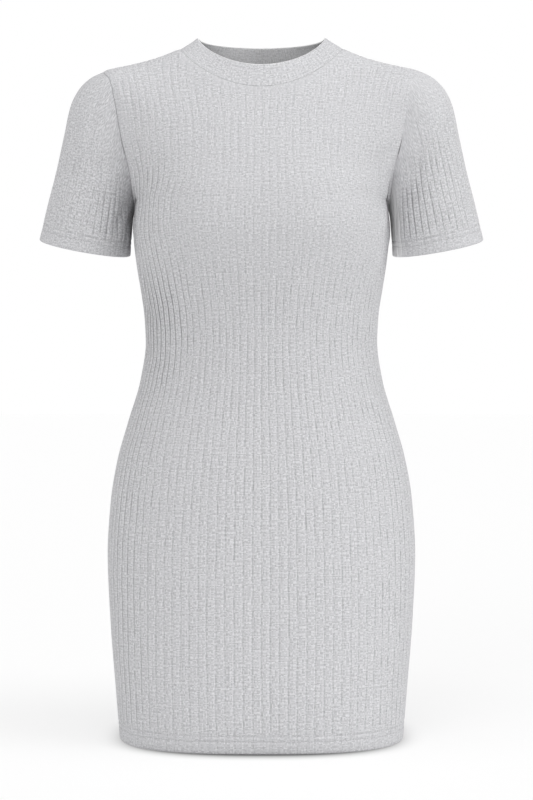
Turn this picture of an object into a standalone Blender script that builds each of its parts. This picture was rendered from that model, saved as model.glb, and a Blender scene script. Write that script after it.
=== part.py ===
"""Ribbed short-sleeve bodycon mini dress, filled out as if worn, hollow and open.

Frame: metres, +Z up, the front faces -Y, X = 0 is the centre front.  The origin is between
the shoulders at the level of the high shoulder points, where a wearer carries the dress.
Five sewn pieces are built as separate thin-walled solids: front, back, two sleeves and a
neckband.  Each panel is a surface over (rib number k, height z): k counts ribs from the
centre line, so a rib keeps its k from the hem to the neckline, shoulder or armhole.
Ribs are raised in the outer face only; the inner face is plain.
"""
import bmesh
import bpy
import numpy as np

# ---- main sizes (metres unless said) --------------------------------------------------
SEAM_GAP = 0.0003          # clear space between two sewn pieces
WALL = 0.0021              # cloth thickness at the crest of a rib
RIB_DEPTH = 0.0009         # depth of the groove between two ribs
SEAM_SINK = 0.00045        # outer face at a sewn edge, where the ribs are pressed flat
TURN_UP = 0.019            # depth of the turned-up hem and cuffs
TURN_WALL = 0.0028         # thickness where the cloth is doubled
TURN_STEP = 0.0015         # height over which the wall changes between the two
BAND_WALL = 0.0026         # the neckband is a folded strip
BAND_EDGE = 0.0006         # how far each face turns in at the neckband's folded edge

RIBS_HALF = 24             # ribs from the centre line to a side seam
RIBS_SHOULDER = 19.5       # ribs from the centre line to the shoulder tip
RIBS_NECK = 10             # ribs from the centre line to the high shoulder point
RIBS_SLEEVE = 42           # ribs round a sleeve
RIBS_BAND = 60             # ribs round the neckband
RIB_FLANK = 0.25           # where the flat crest of a rib starts, as a share of a rib
KNIT_GREY = (0.58, 0.58, 0.60)
KNIT_ROUGHNESS = 0.9

HEM_Z = -0.771
ARMPIT_Z = -0.1746
ARMHOLE_MID_Z = -0.10      # above this the armhole edge follows one rib
EVEN_SPAN = 0.065          # height above it in which the ribs turn to equal steps of width
NECK_X = 0.092             # half width of the neckline at the shoulder seams
TIP_X = 0.1775             # half width at the shoulder tips
ROUND_X = 0.070            # half width from which the shoulder's rounding tightens
SHOULDER_ROUND = 0.050     # height over which the shoulder tip rounds from front to back
NECK_ROUND = 0.100         # the same beside the neck
SHOULDER_POWER = 2.2
NECK_POWER = 0.8

# BODY: one row per level
# (height, half width, front depth, back depth, front roundness, back roundness)
BODY = (
    (-0.771, 0.1588, 0.1120, 0.1060, 2.70, 2.60),
    (-0.711, 0.1639, 0.1130, 0.1110, 2.60, 2.50),
    (-0.644, 0.1695, 0.1115, 0.1160, 2.50, 2.40),
    (-0.565, 0.1729, 0.1085, 0.1200, 2.40, 2.30),
    (-0.508, 0.1695, 0.1055, 0.1190, 2.35, 2.30),
    (-0.463, 0.1622, 0.1020, 0.1110, 2.35, 2.25),
    (-0.418, 0.1497, 0.0970, 0.0970, 2.30, 2.20),
    (-0.372, 0.1362, 0.0930, 0.0840, 2.25, 2.20),
    (-0.330, 0.1305, 0.0925, 0.0765, 2.20, 2.20),
    (-0.300, 0.1320, 0.0970, 0.0780, 2.20, 2.20),
    (-0.270, 0.1364, 0.1050, 0.0830, 2.25, 2.20),
    (-0.237, 0.1413, 0.1155, 0.0890, 2.30, 2.25),
    (-0.205, 0.1444, 0.1220, 0.0935, 2.35, 2.30),
    (-0.1746, 0.1424, 0.1205, 0.0955, 2.35, 2.30),
    (-0.140, 0.1467, 0.1125, 0.0965, 2.20, 2.20),
    (-0.100, 0.1552, 0.0985, 0.0950, 2.05, 2.10),
    (-0.056, 0.1630, 0.0800, 0.0860, 2.00, 2.00),
    (-0.026, 0.1775, 0.0710, 0.0750, 2.00, 2.00),
    (0.015, 0.1775, 0.0640, 0.0660, 2.00, 2.00),
)
# ARMHOLE: one row per level (height, half width of the seam seen from the front)
ARMHOLE = (
    (-0.1746, 0.1424),
    (-0.1690, 0.1441),
    (-0.1530, 0.1451),
    (-0.1360, 0.1475),
    (-0.1180, 0.1522),
    (-0.0932, 0.1562),
    (-0.0695, 0.1601),
    (-0.0424, 0.1664),
    (-0.0258, 0.1775),
    (0.0200, 0.1775),
)
ARMHOLE_DEPTH = {"front": 0.060, "back": 0.058}
ARMHOLE_LIMIT = 0.97       # largest share of the body's depth that the armhole edge takes
NECK_DROP = {"front": 0.0557, "back": 0.0120}
# SHOULDER: one row per point of the shoulder line (half width, height)
SHOULDER = (
    (0.0000, 0.0380),
    (0.0500, 0.0175),
    (0.0920, 0.0000),
    (0.1147, -0.0093),
    (0.1305, -0.0142),
    (0.1475, -0.0186),
    (0.1689, -0.0232),
    (0.1775, -0.0258),
    (0.2000, -0.0360),
)
# SLEEVE: one row per ring, from the armhole to the cuff
# (share of the length, overarm x, overarm z, underarm x, underarm z, half depth)
SLEEVE = (
    (0.00, 0.1775, -0.0258, 0.1430, -0.1746, 0.0590),
    (0.07, 0.1905, -0.0318, 0.1440, -0.1790, 0.0600),
    (0.16, 0.2045, -0.0445, 0.1450, -0.1845, 0.0605),
    (0.27, 0.2146, -0.0640, 0.1457, -0.1905, 0.0605),
    (0.44, 0.2222, -0.0980, 0.1464, -0.2010, 0.0595),
    (0.63, 0.2310, -0.1370, 0.1471, -0.2130, 0.0575),
    (0.82, 0.2412, -0.1760, 0.1477, -0.2235, 0.0560),
    (1.00, 0.2502, -0.2137, 0.1482, -0.2327, 0.0550),
)
# BODY_FOLDS: one row per soft ridge, the same on both sides
# (panel, rib at its upper end, rib at its lower end, upper height, lower height,
#  half width in ribs, rise)
BODY_FOLDS = (
    ("front", 21.0, 14.0, -0.150, -0.262, 2.2, 0.0020),
    ("front", 22.5, 19.0, -0.178, -0.292, 1.5, 0.0010),
    ("back", 20.5, 16.0, -0.158, -0.250, 2.0, 0.0016),
)
# BUST: centre rib, height of the centre, half width in ribs, half height, rise
BUST = (9.5, -0.196, 8.5, 0.070, 0.0040)
# SLEEVE_FOLDS: one row per soft trough
# (share round at the armhole, share round at the cuff, start, end, half width, depth)
SLEEVE_FOLDS = (
    (0.462, 0.428, 0.03, 0.98, 0.020, 0.0022),
    (0.420, 0.362, 0.06, 0.82, 0.024, 0.0014),
    (0.240, 0.330, 0.02, 0.60, 0.030, 0.0010),
    (0.540, 0.580, 0.03, 0.92, 0.020, 0.0018),
    (0.585, 0.645, 0.06, 0.75, 0.024, 0.0012),
)
CUFF_DIP = 0.0095          # the cuff's front edge hangs lower than its sides, the back higher
CUFF_DIP_START = 0.3       # share of the sleeve's length where that starts
SLEEVE_LEAVE = (1.0, 0.0, 0.9)   # general direction in which a sleeve leaves its armhole
SLEEVE_POWER = 2.1
# BAND_TOP: the neckband's upper edge
BAND_X = 0.0718
BAND_Y = {"front": 0.0680, "back": 0.0570}
BAND_SIDE_Z = 0.0146
BAND_FALL = {"front": 0.0440, "back": -0.0006}
BAND_CURVE = 0.66
BAND_RISE = 0.06           # upward part of the direction in which the band leaves the neckline

# ---- rows and columns of the grids ----------------------------------------------------
LEVELS = (-0.771, -0.660, -0.575, -0.510, -0.452, -0.400, -0.352, -0.305, -0.258,
          -0.213, -0.1746, -0.140, -0.100)
TOP_SHARES = (0.42, 0.73, 0.93, 1.0)
SLEEVE_ROWS = (0.0, 0.07, 0.16, 0.30, 0.55, 0.78, 1.0)
CUFF_TURN = (0.898, 0.906)       # rows between which the cuff's wall gets thicker
BAND_ROWS = (0.0, 0.34, 0.68, 1.0)
NECK_COLUMNS = (9.92,)     # extra columns where the neckline turns to the shoulder seam
INNER_COLUMNS = (0, 2.5, 5, 7.5, 10, 12, 14, 16, 18, 19.5, 21, 22.5, 24)
NECK_EDGE = (0, 1, 2, 3, 4, 5, 6, 7, 8, 8.5, 9, 9.5, 9.75, 9.92)
INNER_SLEEVE = 30
INNER_BAND = 36
LOW_ROW_MARGIN = 0.007     # a level nearer than this to a rib's upper end is left out

# ---- steps of the working curves ------------------------------------------------------
SECTION_POINTS = 241
RING_POINTS = 721
RIB_STEP = 0.04            # ribs either side, for a direction across the body
LEVEL_STEP = 0.0004        # height below, for a direction up the body
RING_STEP = 0.003          # share either side, for a direction round a sleeve
BAND_STEP = 0.004          # the same round the neckband
LENGTH_STEP = 0.02         # share either side, for a direction along a sleeve
LEAVE_SHARE = 0.05         # share of a sleeve's length that shows how it leaves the armhole
MIN_RADIUS = 0.02
NEAR = 1e-6


def smooth(table, column, value):
    """Cubic curve through one column of a table, with slopes that never overshoot."""
    knots = np.array([row[0] for row in table])
    heights = np.array([row[column] for row in table])
    step = np.diff(knots)
    slope = np.diff(heights) / step
    tangent = np.zeros(len(knots))
    same = slope[:-1] * slope[1:] > 0
    mean = 2.0 * slope[:-1] * slope[1:] / np.where(same, slope[:-1] + slope[1:], 1.0)
    tangent[1:-1] = np.where(same, mean, 0.0)
    tangent[0] = slope[0]
    tangent[-1] = slope[-1]
    value = np.clip(np.asarray(value, dtype=float), knots[0], knots[-1])
    cell = np.clip(np.searchsorted(knots, value, side="right") - 1, 0, len(step) - 1)
    t = (value - knots[cell]) / step[cell]
    return ((2 * t**3 - 3 * t**2 + 1) * heights[cell]
            + (t**3 - 2 * t**2 + t) * step[cell] * tangent[cell]
            + (3 * t**2 - 2 * t**3) * heights[cell + 1]
            + (t**3 - t**2) * step[cell] * tangent[cell + 1])


def ramp(value):
    """Smooth step from 0 to 1."""
    t = np.clip(value, 0.0, 1.0)
    return t * t * (3.0 - 2.0 * t)


def crest(distance):
    """Soft bump: 1 at the middle, 0 from a distance of 1."""
    return np.cos(0.5 * np.pi * np.clip(distance, -1.0, 1.0))**2


def unit(vectors):
    """Vectors of length one."""
    return vectors / np.linalg.norm(vectors, axis=-1, keepdims=True)


# ---- the body surface -----------------------------------------------------------------
def section(z, side):
    """Half outline of the body at one level: x, depth and length from the centre line.

    The outline is a superellipse.  Above the armpit it stops at the armhole edge, whose
    depth grows like an ellipse from nothing at the armpit.
    """
    depth = smooth(BODY, 2 if side == "front" else 3, z)
    power = smooth(BODY, 4 if side == "front" else 5, z)
    if z <= ARMPIT_Z:
        end_x = smooth(BODY, 1, z)
        end_y = 0.0
    else:
        end_x = smooth(ARMHOLE, 1, z)
        low = np.clip((ARMHOLE_MID_Z - z) / (ARMHOLE_MID_Z - ARMPIT_Z), 0.0, 1.0)
        end_y = ARMHOLE_DEPTH[side] * np.sqrt(1.0 - low**2)
    reach = end_x / (1.0 - min(end_y / depth, ARMHOLE_LIMIT)**power)**(1.0 / power)
    end_angle = np.arcsin(min(1.0, (end_x / reach)**(power / 2.0)))
    angle = np.linspace(0.0, 1.0, SECTION_POINTS) * end_angle
    x = reach * np.sin(angle)**(2.0 / power)
    y = depth * np.abs(np.cos(angle))**(2.0 / power)
    run = np.concatenate([[0.0], np.cumsum(np.hypot(np.diff(x), np.diff(y)))])
    return x, y, run


SECTIONS = {}


def cached(z, side):
    """The section at a level, kept so that each level is worked out once."""
    key = (round(float(z), 7), side)
    if key not in SECTIONS:
        SECTIONS[key] = section(key[0], side)
    return SECTIONS[key]


def ribs_inside(z):
    """Number of ribs from the centre line to the side seam or the armhole edge."""
    low = np.clip((ARMHOLE_MID_Z - z) / (ARMHOLE_MID_Z - ARMPIT_Z), 0.0, 1.0)
    return RIBS_SHOULDER + (RIBS_HALF - RIBS_SHOULDER) * (1.0 - np.sqrt(1.0 - low**2))


def pitch(z, side):
    """Width of one rib at a level."""
    return cached(z, side)[2][-1] / ribs_inside(z)


def swell(k, z, side):
    """Rise of the soft folds by the armhole, and of the bust, over the plain body."""
    rise = 0.0
    for panel, k_high, k_low, z_high, z_low, width, height in BODY_FOLDS:
        if panel == side:
            along = (z_high - z) / (z_high - z_low)
            middle = k_high + (k_low - k_high) * along
            rise += height * crest((abs(k) - middle) / width) * crest(2.0 * along - 1.0)
    if side == "front":
        k_mid, z_mid, width, tall, height = BUST
        rise += height * crest((abs(k) - k_mid) / width) * crest((z - z_mid) / tall)
    return rise


def spot(k, z, side):
    """Point of the outer crest surface for rib number k at height z."""
    x_line, y_line, run = cached(z, side)
    x = np.interp(abs(k) * pitch(z, side), run, x_line)
    even = ramp((z - ARMHOLE_MID_Z) / EVEN_SPAN)
    if even > 0.0:
        edge_x = smooth(ARMHOLE, 1, z)
        if abs(k) <= RIBS_NECK:
            level_x = NECK_X * abs(k) / RIBS_NECK
        else:
            share = (abs(k) - RIBS_NECK) / (RIBS_SHOULDER - RIBS_NECK)
            level_x = NECK_X + (edge_x - NECK_X) * share
        x = x + (level_x - x) * even
    y = np.interp(x, x_line, y_line) if x < x_line[-1] else y_line[-1]
    if x > 0.999 * x_line[-1]:
        y = np.interp(abs(k) * pitch(z, side), run, y_line) * (1 - even) + y * even
    outward = ramp((x - ROUND_X) / (TIP_X - ROUND_X))
    height = NECK_ROUND + (SHOULDER_ROUND - NECK_ROUND) * outward
    rise = np.clip((smooth(SHOULDER, 1, x) - z) / height, 0.0, 1.0)
    y = y * (1.0 - (1.0 - rise)**SHOULDER_POWER)**(1.0 / SHOULDER_POWER)
    out = 1.0 + swell(k, z, side) / max(np.hypot(x, y), MIN_RADIUS)
    x *= out
    y *= out
    return np.array([x if k >= 0 else -x, -y if side == "front" else y, z])


def top_of(k, side):
    """Height at which rib number k ends: neckline, shoulder seam or armhole."""
    if abs(k) < RIBS_NECK:
        return -NECK_DROP[side] * (1.0 - (abs(k) / RIBS_NECK)**2)**NECK_POWER
    if abs(k) <= RIBS_SHOULDER:
        share = (abs(k) - RIBS_NECK) / (RIBS_SHOULDER - RIBS_NECK)
        return float(smooth(SHOULDER, 1, NECK_X + (TIP_X - NECK_X) * share))
    if abs(k) >= RIBS_HALF:
        return ARMPIT_Z
    share = (abs(k) - RIBS_SHOULDER) / (RIBS_HALF - RIBS_SHOULDER)
    low = np.sqrt(1.0 - (1.0 - share)**2)
    return ARMHOLE_MID_Z + (ARMPIT_Z - ARMHOLE_MID_Z) * low


def rows_of(k, side):
    """Heights of the grid points along rib number k, from the hem up."""
    top = top_of(k, side)
    if abs(k) <= RIBS_SHOULDER:
        span = top - ARMHOLE_MID_Z
        return list(LEVELS) + [ARMHOLE_MID_Z + span * share for share in TOP_SHARES]
    return [z for z in LEVELS if z < top - LOW_ROW_MARGIN] + [top]


def facing(k, z, side):
    """Outward direction of the crest surface."""
    right, left = min(k + RIB_STEP, RIBS_HALF), max(k - RIB_STEP, -RIBS_HALF)
    across = spot(right, z, side) - spot(left, z, side)
    upward = spot(k, z, side) - spot(k, z - LEVEL_STEP, side)
    normal = np.cross(across, upward)
    if side == "back":
        normal = -normal
    return normal / np.linalg.norm(normal)


def set_in(point, normal, depth, side):
    """A point moved into the cloth, kept half a seam gap clear of the other panel."""
    moved = point - normal * depth
    if side == "front":
        moved[1] = min(moved[1], -SEAM_GAP / 2)
    else:
        moved[1] = max(moved[1], SEAM_GAP / 2)
    return moved


# ---- triangles ------------------------------------------------------------------------
def zip_lines(first, second, first_at, second_at):
    """Triangles between two rows of points, stepping along whichever is behind."""
    faces = []
    i = j = 0
    while i < len(first) - 1 or j < len(second) - 1:
        step_first = j == len(second) - 1 or (
            i < len(first) - 1 and first_at[i + 1] <= second_at[j + 1] + NEAR)
        if step_first:
            faces.append((first[i], first[i + 1], second[j]))
            i += 1
        else:
            faces.append((first[i], second[j + 1], second[j]))
            j += 1
    return faces


def zip_rings(first, second, first_at, second_at):
    """Triangles between two closed rings whose shares both start at zero."""
    return zip_lines(list(first) + [first[0]], list(second) + [second[0]],
                     list(first_at) + [1.0], list(second_at) + [1.0])


def make_solid(name, points, faces):
    """One mesh object with its own material and its faces turned outward."""
    mesh = bpy.data.meshes.new(name)
    mesh.from_pydata([tuple(float(c) for c in p) for p in points], [], faces)
    work = bmesh.new()
    work.from_mesh(mesh)
    bmesh.ops.recalc_face_normals(work, faces=work.faces)
    work.to_mesh(mesh)
    work.free()
    body = bpy.data.objects.new(name, mesh)
    bpy.context.scene.collection.objects.link(body)
    material = bpy.data.materials.new(name + "_knit")
    material.use_nodes = True
    shader = material.node_tree.nodes["Principled BSDF"]
    shader.inputs["Base Color"].default_value = (*KNIT_GREY, 1.0)
    shader.inputs["Roughness"].default_value = KNIT_ROUGHNESS
    mesh.materials.append(material)
    return body


# ---- panels ---------------------------------------------------------------------------
def rib_columns():
    """Rib numbers of the outer grid: a groove and the two ends of a crest per rib."""
    columns = [RIBS_SHOULDER, *NECK_COLUMNS]
    for rib in range(RIBS_HALF):
        columns += [rib, rib + RIB_FLANK, rib + 1 - RIB_FLANK]
    columns = sorted(columns + [RIBS_HALF])
    return [-k for k in columns[:0:-1]] + columns


def inner_columns():
    """Rib numbers of the plain inner grid."""
    return [-k for k in INNER_COLUMNS[:0:-1]] + list(INNER_COLUMNS)


def rib_sink(k):
    """Depth of the outer face below the crest for rib number k."""
    if abs(k) == RIBS_SHOULDER:
        return 0.0
    return RIB_DEPTH * max(0.0, 1.0 - abs(k - round(k)) / RIB_FLANK)


def panel_grid(side, columns, inner):
    """Grid of one face of a panel: points, triangles and the ordered boundary runs."""
    points = []
    ids = []
    heights = []
    for k in columns:
        rows = rows_of(k, side)
        if inner:
            rows = [rows[0], HEM_Z + TURN_UP, HEM_Z + TURN_UP + TURN_STEP] + rows[1:]
        line = []
        for order, z in enumerate(rows):
            sewn = order == len(rows) - 1 or (
                abs(k) == RIBS_SHOULDER and z > ARMHOLE_MID_Z - NEAR)
            if inner:
                sink = TURN_WALL if order < 2 else WALL
            else:
                sink = SEAM_SINK if sewn else rib_sink(k)
            line.append(len(points))
            points.append(set_in(spot(k, z, side), facing(k, z, side), sink, side))
        ids.append(line)
        heights.append(rows)
    faces = []
    for a in range(len(columns) - 1):
        low, high = sorted((a, a + 1), key=lambda c: abs(columns[c]))
        count = len(ids[low])
        if abs(columns[high]) > RIBS_SHOULDER and abs(columns[low]) == RIBS_SHOULDER:
            count = sum(z <= ARMHOLE_MID_Z + NEAR for z in heights[low])
        if inner and abs(columns[high]) <= RIBS_NECK:
            count -= 1
        strip = {low: (ids[low][:count], heights[low][:count]),
                 high: (ids[high][:count], heights[high][:count])}
        left, right = strip[a], strip[a + 1]
        if len(strip[low][0]) == len(strip[high][0]):
            order = list(range(count))
            faces += zip_lines(left[0], right[0], order, order)
        else:
            faces += zip_lines(left[0], right[0], left[1], right[1])
    at = {k: c for c, k in enumerate(columns)}
    top = [(ids[c][-1], columns[c])
           for c in range(at[-RIBS_SHOULDER], at[RIBS_SHOULDER] + 1)]
    if inner:
        neck = [-k for k in NECK_EDGE[:0:-1]] + list(NECK_EDGE)
        edge = []
        for k in neck:
            z = top_of(k, side)
            edge.append((len(points), k))
            points.append(set_in(spot(k, z, side), facing(k, z, side), WALL, side))
        ends = [(ids[at[k]][-1], k) for k in (-RIBS_NECK, RIBS_NECK)]
        edge = [ends[0], *edge, ends[1]]
        below = [(ids[c][-2], columns[c]) for c in range(at[-RIBS_NECK], at[RIBS_NECK] + 1)]
        faces += zip_lines([i for i, _ in below], [i for i, _ in edge],
                           [k for _, k in below], [k for _, k in edge])
        top = ([pair for pair in top if pair[1] < -RIBS_NECK] + edge
               + [pair for pair in top if pair[1] > RIBS_NECK])
    return points, faces, ids, heights, top


def boundary_runs(columns, ids, heights, top):
    """The edge of a panel grid as six runs, each a list of (point, position along it)."""
    last = len(columns) - 1
    at = {k: c for c, k in enumerate(columns)}
    runs = {"hem": [(ids[c][0], columns[c]) for c in range(last + 1)], "top": top}
    for name, sign in (("left", -1), ("right", 1)):
        outer = at[sign * RIBS_HALF]
        edge = at[sign * RIBS_SHOULDER]
        runs["side_" + name] = list(zip(ids[outer], heights[outer]))
        span = range(outer, edge, -sign)
        hole = [(ids[c][-1], heights[c][-1]) for c in span]
        hole += [(i, z) for i, z in zip(ids[edge], heights[edge])
                 if z > ARMHOLE_MID_Z - NEAR]
        runs["hole_" + name] = hole
    return runs


def build_panel(side):
    """One closed panel: ribbed outer face, plain inner face and the edges between."""
    outer_columns = rib_columns()
    plain_columns = inner_columns()
    points, faces, ids, heights, top = panel_grid(side, outer_columns, False)
    outer_runs = boundary_runs(outer_columns, ids, heights, top)
    inner_points, inner_faces, ids, heights, top = panel_grid(side, plain_columns, True)
    inner_runs = boundary_runs(plain_columns, ids, heights, top)
    shift = len(points)
    faces += [tuple(i + shift for i in face) for face in inner_faces]
    for name, run in outer_runs.items():
        other = inner_runs[name]
        faces += zip_lines([p for p, _ in run], [p + shift for p, _ in other],
                           [s for _, s in run], [s for _, s in other])
    used = sorted({i for face in faces for i in face})
    place = {old: new for new, old in enumerate(used)}
    kept = points + inner_points
    solid = ([kept[i] for i in used], [tuple(place[i] for i in face) for face in faces])
    return solid, points, outer_runs


# ---- sewn-on pieces -------------------------------------------------------------------
def resample(line, values, shares):
    """Values along a line of points, at shares of its length."""
    length = np.concatenate([[0.0], np.cumsum(np.linalg.norm(np.diff(line, axis=0), axis=1))])
    length /= length[-1]
    return np.stack([np.interp(shares, length, values[:, c]) for c in range(3)], axis=1)


def loop_of(halves, shares):
    """A closed edge made of a front and a back half, each sampled by its length.

    Shares 0 to 0.5 run along the front half and 0.5 to 1 along the back half.
    Gives the points, the outward directions and the directions along the edge.
    """
    shares = np.asarray(shares)
    result = []
    for line, normal, first in halves:
        inside = (shares < 0.5) if first else (shares >= 0.5)
        local = shares[inside] * 2.0 if first else (shares[inside] - 0.5) * 2.0
        along = np.gradient(line, axis=0)
        result.append([resample(line, data, local) for data in (line, normal, unit(along))])
    return [np.concatenate([part[n] for part in result]) for n in range(3)]


def join_edge(edge, normal, along, leaving, away, wall):
    """Outer and inner points of the sewn end of a piece, a seam gap from the panel edge.

    The piece leaves the panel along `leaving`.  Where it bends over the outer side the
    gap turns with it; where it bends inward both ends stay parallel.
    """
    normal = unit(normal)
    across = unit(np.cross(normal, along))
    across = across * np.sign((across * away).sum(axis=1))[:, None]
    angle = np.arctan2((leaving * normal).sum(axis=1), (leaving * across).sum(axis=1))
    bend = np.clip(angle, 0.0, np.pi)[:, None]
    shift = across * np.cos(bend / 2) + normal * np.sin(bend / 2)
    outer = edge + SEAM_GAP * shift
    inward = unit(np.sin(bend) * across - np.cos(bend) * normal)
    return outer, outer + (wall - SEAM_SINK) * inward


def ring_shares(ribs):
    """Shares round a ring for the outer grid: a groove and two crest ends per rib."""
    return np.array([(rib + part) / ribs for rib in range(ribs)
                     for part in (0.0, RIB_FLANK, 1.0 - RIB_FLANK)])


def sleeve_ring(shares, t):
    """Ring of the sleeve at share t of its length, equal steps of length round it."""
    over = np.array([smooth(SLEEVE, 1, t), 0.0, smooth(SLEEVE, 2, t)])
    under = np.array([smooth(SLEEVE, 3, t), 0.0, smooth(SLEEVE, 4, t)])
    depth = float(smooth(SLEEVE, 5, t))
    angle = np.linspace(0.0, 2.0 * np.pi, RING_POINTS)
    reach = np.sign(np.cos(angle)) * np.abs(np.cos(angle))**(2.0 / SLEEVE_POWER)
    side = -np.sign(np.sin(angle)) * np.abs(np.sin(angle))**(2.0 / SLEEVE_POWER)
    line = 0.5 * (over + under) + 0.5 * (over - under) * reach[:, None]
    line = line + np.array([0.0, depth, 0.0]) * side[:, None]
    line[:, 2] += CUFF_DIP * ramp((t - CUFF_DIP_START) / (1.0 - CUFF_DIP_START)) * side
    ring = resample(line, line, shares)
    sink = np.zeros(len(shares))
    for from_share, to_share, start, end, width, height in SLEEVE_FOLDS:
        along = (t - start) / (end - start)
        middle = from_share + (to_share - from_share) * along
        sink += height * crest((shares - middle) / width) * crest(2.0 * along - 1.0)
    return ring + unit(0.5 * (over + under) - ring) * sink[:, None]


def build_sleeve(edges):
    """The sleeve on the +X side, between the armhole and the cuff."""
    outer_shares = ring_shares(RIBS_SLEEVE)
    inner_shares = np.arange(INNER_SLEEVE) / INNER_SLEEVE

    def surface(shares, t):
        edge = loop_of(edges, shares)[0]
        return sleeve_ring(shares, t) + (edge - sleeve_ring(shares, 0.0)) * (1.0 - t)**3

    def normals(shares, t):
        across = surface((shares + RING_STEP) % 1.0, t) - surface((shares - RING_STEP) % 1.0, t)
        low, high = max(t - LENGTH_STEP, 0.0), min(t + LENGTH_STEP, 1.0)
        along = surface(shares, high) - surface(shares, low)
        normal = unit(np.cross(across, along))
        middle = surface(shares, t).mean(axis=0)
        turn = np.sign(((surface(shares, t) - middle) * normal).sum(axis=1))
        return normal * turn[:, None]

    points = []
    grids = []
    for inner, shares in ((False, outer_shares), (True, inner_shares)):
        grid = []
        rows = list(SLEEVE_ROWS)
        if inner:
            rows = sorted(rows + list(CUFF_TURN))
        for order, t in enumerate(rows):
            if order == 0:
                edge, normal, along = loop_of(edges, shares)
                leaving = unit(surface(shares, LEAVE_SHARE) - edge)
                ends = join_edge(edge, normal, along, leaving, np.array(SLEEVE_LEAVE), WALL)
                ring = ends[1] if inner else ends[0]
            elif inner:
                wall = TURN_WALL if t > CUFF_TURN[0] else WALL
                ring = surface(shares, t) - normals(shares, t) * wall
            else:
                sink = np.where(np.arange(len(shares)) % 3 == 0, RIB_DEPTH, 0.0)
                ring = surface(shares, t) - normals(shares, t) * sink[:, None]
            grid.append(list(range(len(points), len(points) + len(ring))))
            points += list(ring)
        grids.append((grid, shares))
    faces = []
    for grid, shares in grids:
        for a in range(len(grid) - 1):
            faces += zip_rings(grid[a], grid[a + 1], shares, shares)
    for row in (0, -1):
        faces += zip_rings(grids[0][0][row], grids[1][0][row], outer_shares, inner_shares)
    return points, faces


def build_band(edges):
    """The neckband: a strip leaning inward from the neckline."""
    outer_shares = np.arange(2 * RIBS_BAND) / (2 * RIBS_BAND)
    inner_shares = np.arange(INNER_BAND) / INNER_BAND

    def upper(base):
        x = np.clip(base[:, 0] * BAND_X / NECK_X, -BAND_X, BAND_X)
        fall = np.clip(1.0 - (x / BAND_X)**2, 0.0, 1.0)
        front = base[:, 1] < 0.0
        reach = np.where(front, -BAND_Y["front"], BAND_Y["back"])
        drop = np.where(front, BAND_FALL["front"], BAND_FALL["back"])
        return np.stack([x, reach * fall**0.5, BAND_SIDE_Z - drop * fall**BAND_CURVE], axis=1)

    def surface(shares, t):
        base = loop_of(edges, shares)[0]
        return base + (upper(base) - base) * t

    def normals(shares, t):
        across = surface((shares + BAND_STEP) % 1.0, t) - surface((shares - BAND_STEP) % 1.0, t)
        along = surface(shares, 1.0) - surface(shares, 0.0)
        normal = unit(np.cross(across, along))
        out = surface(shares, t) * np.array([1.0, 1.0, 0.0])
        return normal * np.sign((out * normal).sum(axis=1))[:, None]

    points = []
    grids = []
    for inner, shares in ((False, outer_shares), (True, inner_shares)):
        grid = []
        for order, t in enumerate(BAND_ROWS):
            if order == 0:
                edge, normal, along = loop_of(edges, shares)
                leaving = unit(upper(edge) - edge)
                rise = np.full(len(edge), BAND_RISE)
                away = np.stack([-edge[:, 0], -edge[:, 1], rise], axis=1)
                ends = join_edge(edge, normal, along, leaving, away, BAND_WALL)
                ring = ends[1] if inner else ends[0]
            else:
                last = t == 1.0
                if inner:
                    sink = np.full(len(shares), BAND_WALL - (BAND_EDGE if last else 0.0))
                else:
                    sink = np.where(np.arange(len(shares)) % 2 == 0, RIB_DEPTH, 0.0)
                    sink = np.full(len(shares), BAND_EDGE) if last else sink
                ring = surface(shares, t) - normals(shares, t) * sink[:, None]
            grid.append(list(range(len(points), len(points) + len(ring))))
            points += list(ring)
        grids.append((grid, shares))
    faces = []
    for grid, shares in grids:
        for a in range(len(grid) - 1):
            faces += zip_rings(grid[a], grid[a + 1], shares, shares)
    for row in (0, -1):
        faces += zip_rings(grids[0][0][row], grids[1][0][row], outer_shares, inner_shares)
    return points, faces


def hole_half(side, points, runs):
    """Armhole edge of one panel on the +X side, from the shoulder tip to the armpit."""
    columns = rib_columns()
    outer = [k for k in columns if k > RIBS_SHOULDER][::-1]
    run = runs["hole_right"]
    ks = outer + [RIBS_SHOULDER] * (len(run) - len(outer))
    line = np.array([points[i] for i, _ in run])
    normal = np.array([facing(k, z, side) for k, (_, z) in zip(ks, run)])
    return line[::-1], normal[::-1]


def neck_half(side, points, runs):
    """Neckline edge of one panel, from the -X shoulder seam to the +X one."""
    run = [(i, k) for i, k in runs["top"] if abs(k) <= RIBS_NECK]
    line = np.array([points[i] for i, _ in run])
    normal = np.array([facing(k, top_of(k, side), side) for _, k in run])
    return line, normal


def main():
    """Clear the scene and build the five pieces."""
    for old in list(bpy.data.objects):
        bpy.data.objects.remove(old, do_unlink=True)
    panels = {}
    for side in ("front", "back"):
        solid, points, outer_runs = build_panel(side)
        make_solid(side, *solid)
        panels[side] = (points, outer_runs)
    front_hole = hole_half("front", *panels["front"])
    back_hole = hole_half("back", *panels["back"])
    armhole = [(front_hole[0], front_hole[1], True),
               (back_hole[0][::-1], back_hole[1][::-1], False)]
    points, faces = build_sleeve(armhole)
    make_solid("sleeve_left", points, faces)
    mirrored = [np.array([-p[0], p[1], p[2]]) for p in points]
    make_solid("sleeve_right", mirrored, faces)
    front_neck = neck_half("front", *panels["front"])
    back_neck = neck_half("back", *panels["back"])
    neckline = [(front_neck[0], front_neck[1], True),
                (back_neck[0][::-1], back_neck[1][::-1], False)]
    points, faces = build_band(neckline)
    make_solid("neckband", points, faces)


main()
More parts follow.
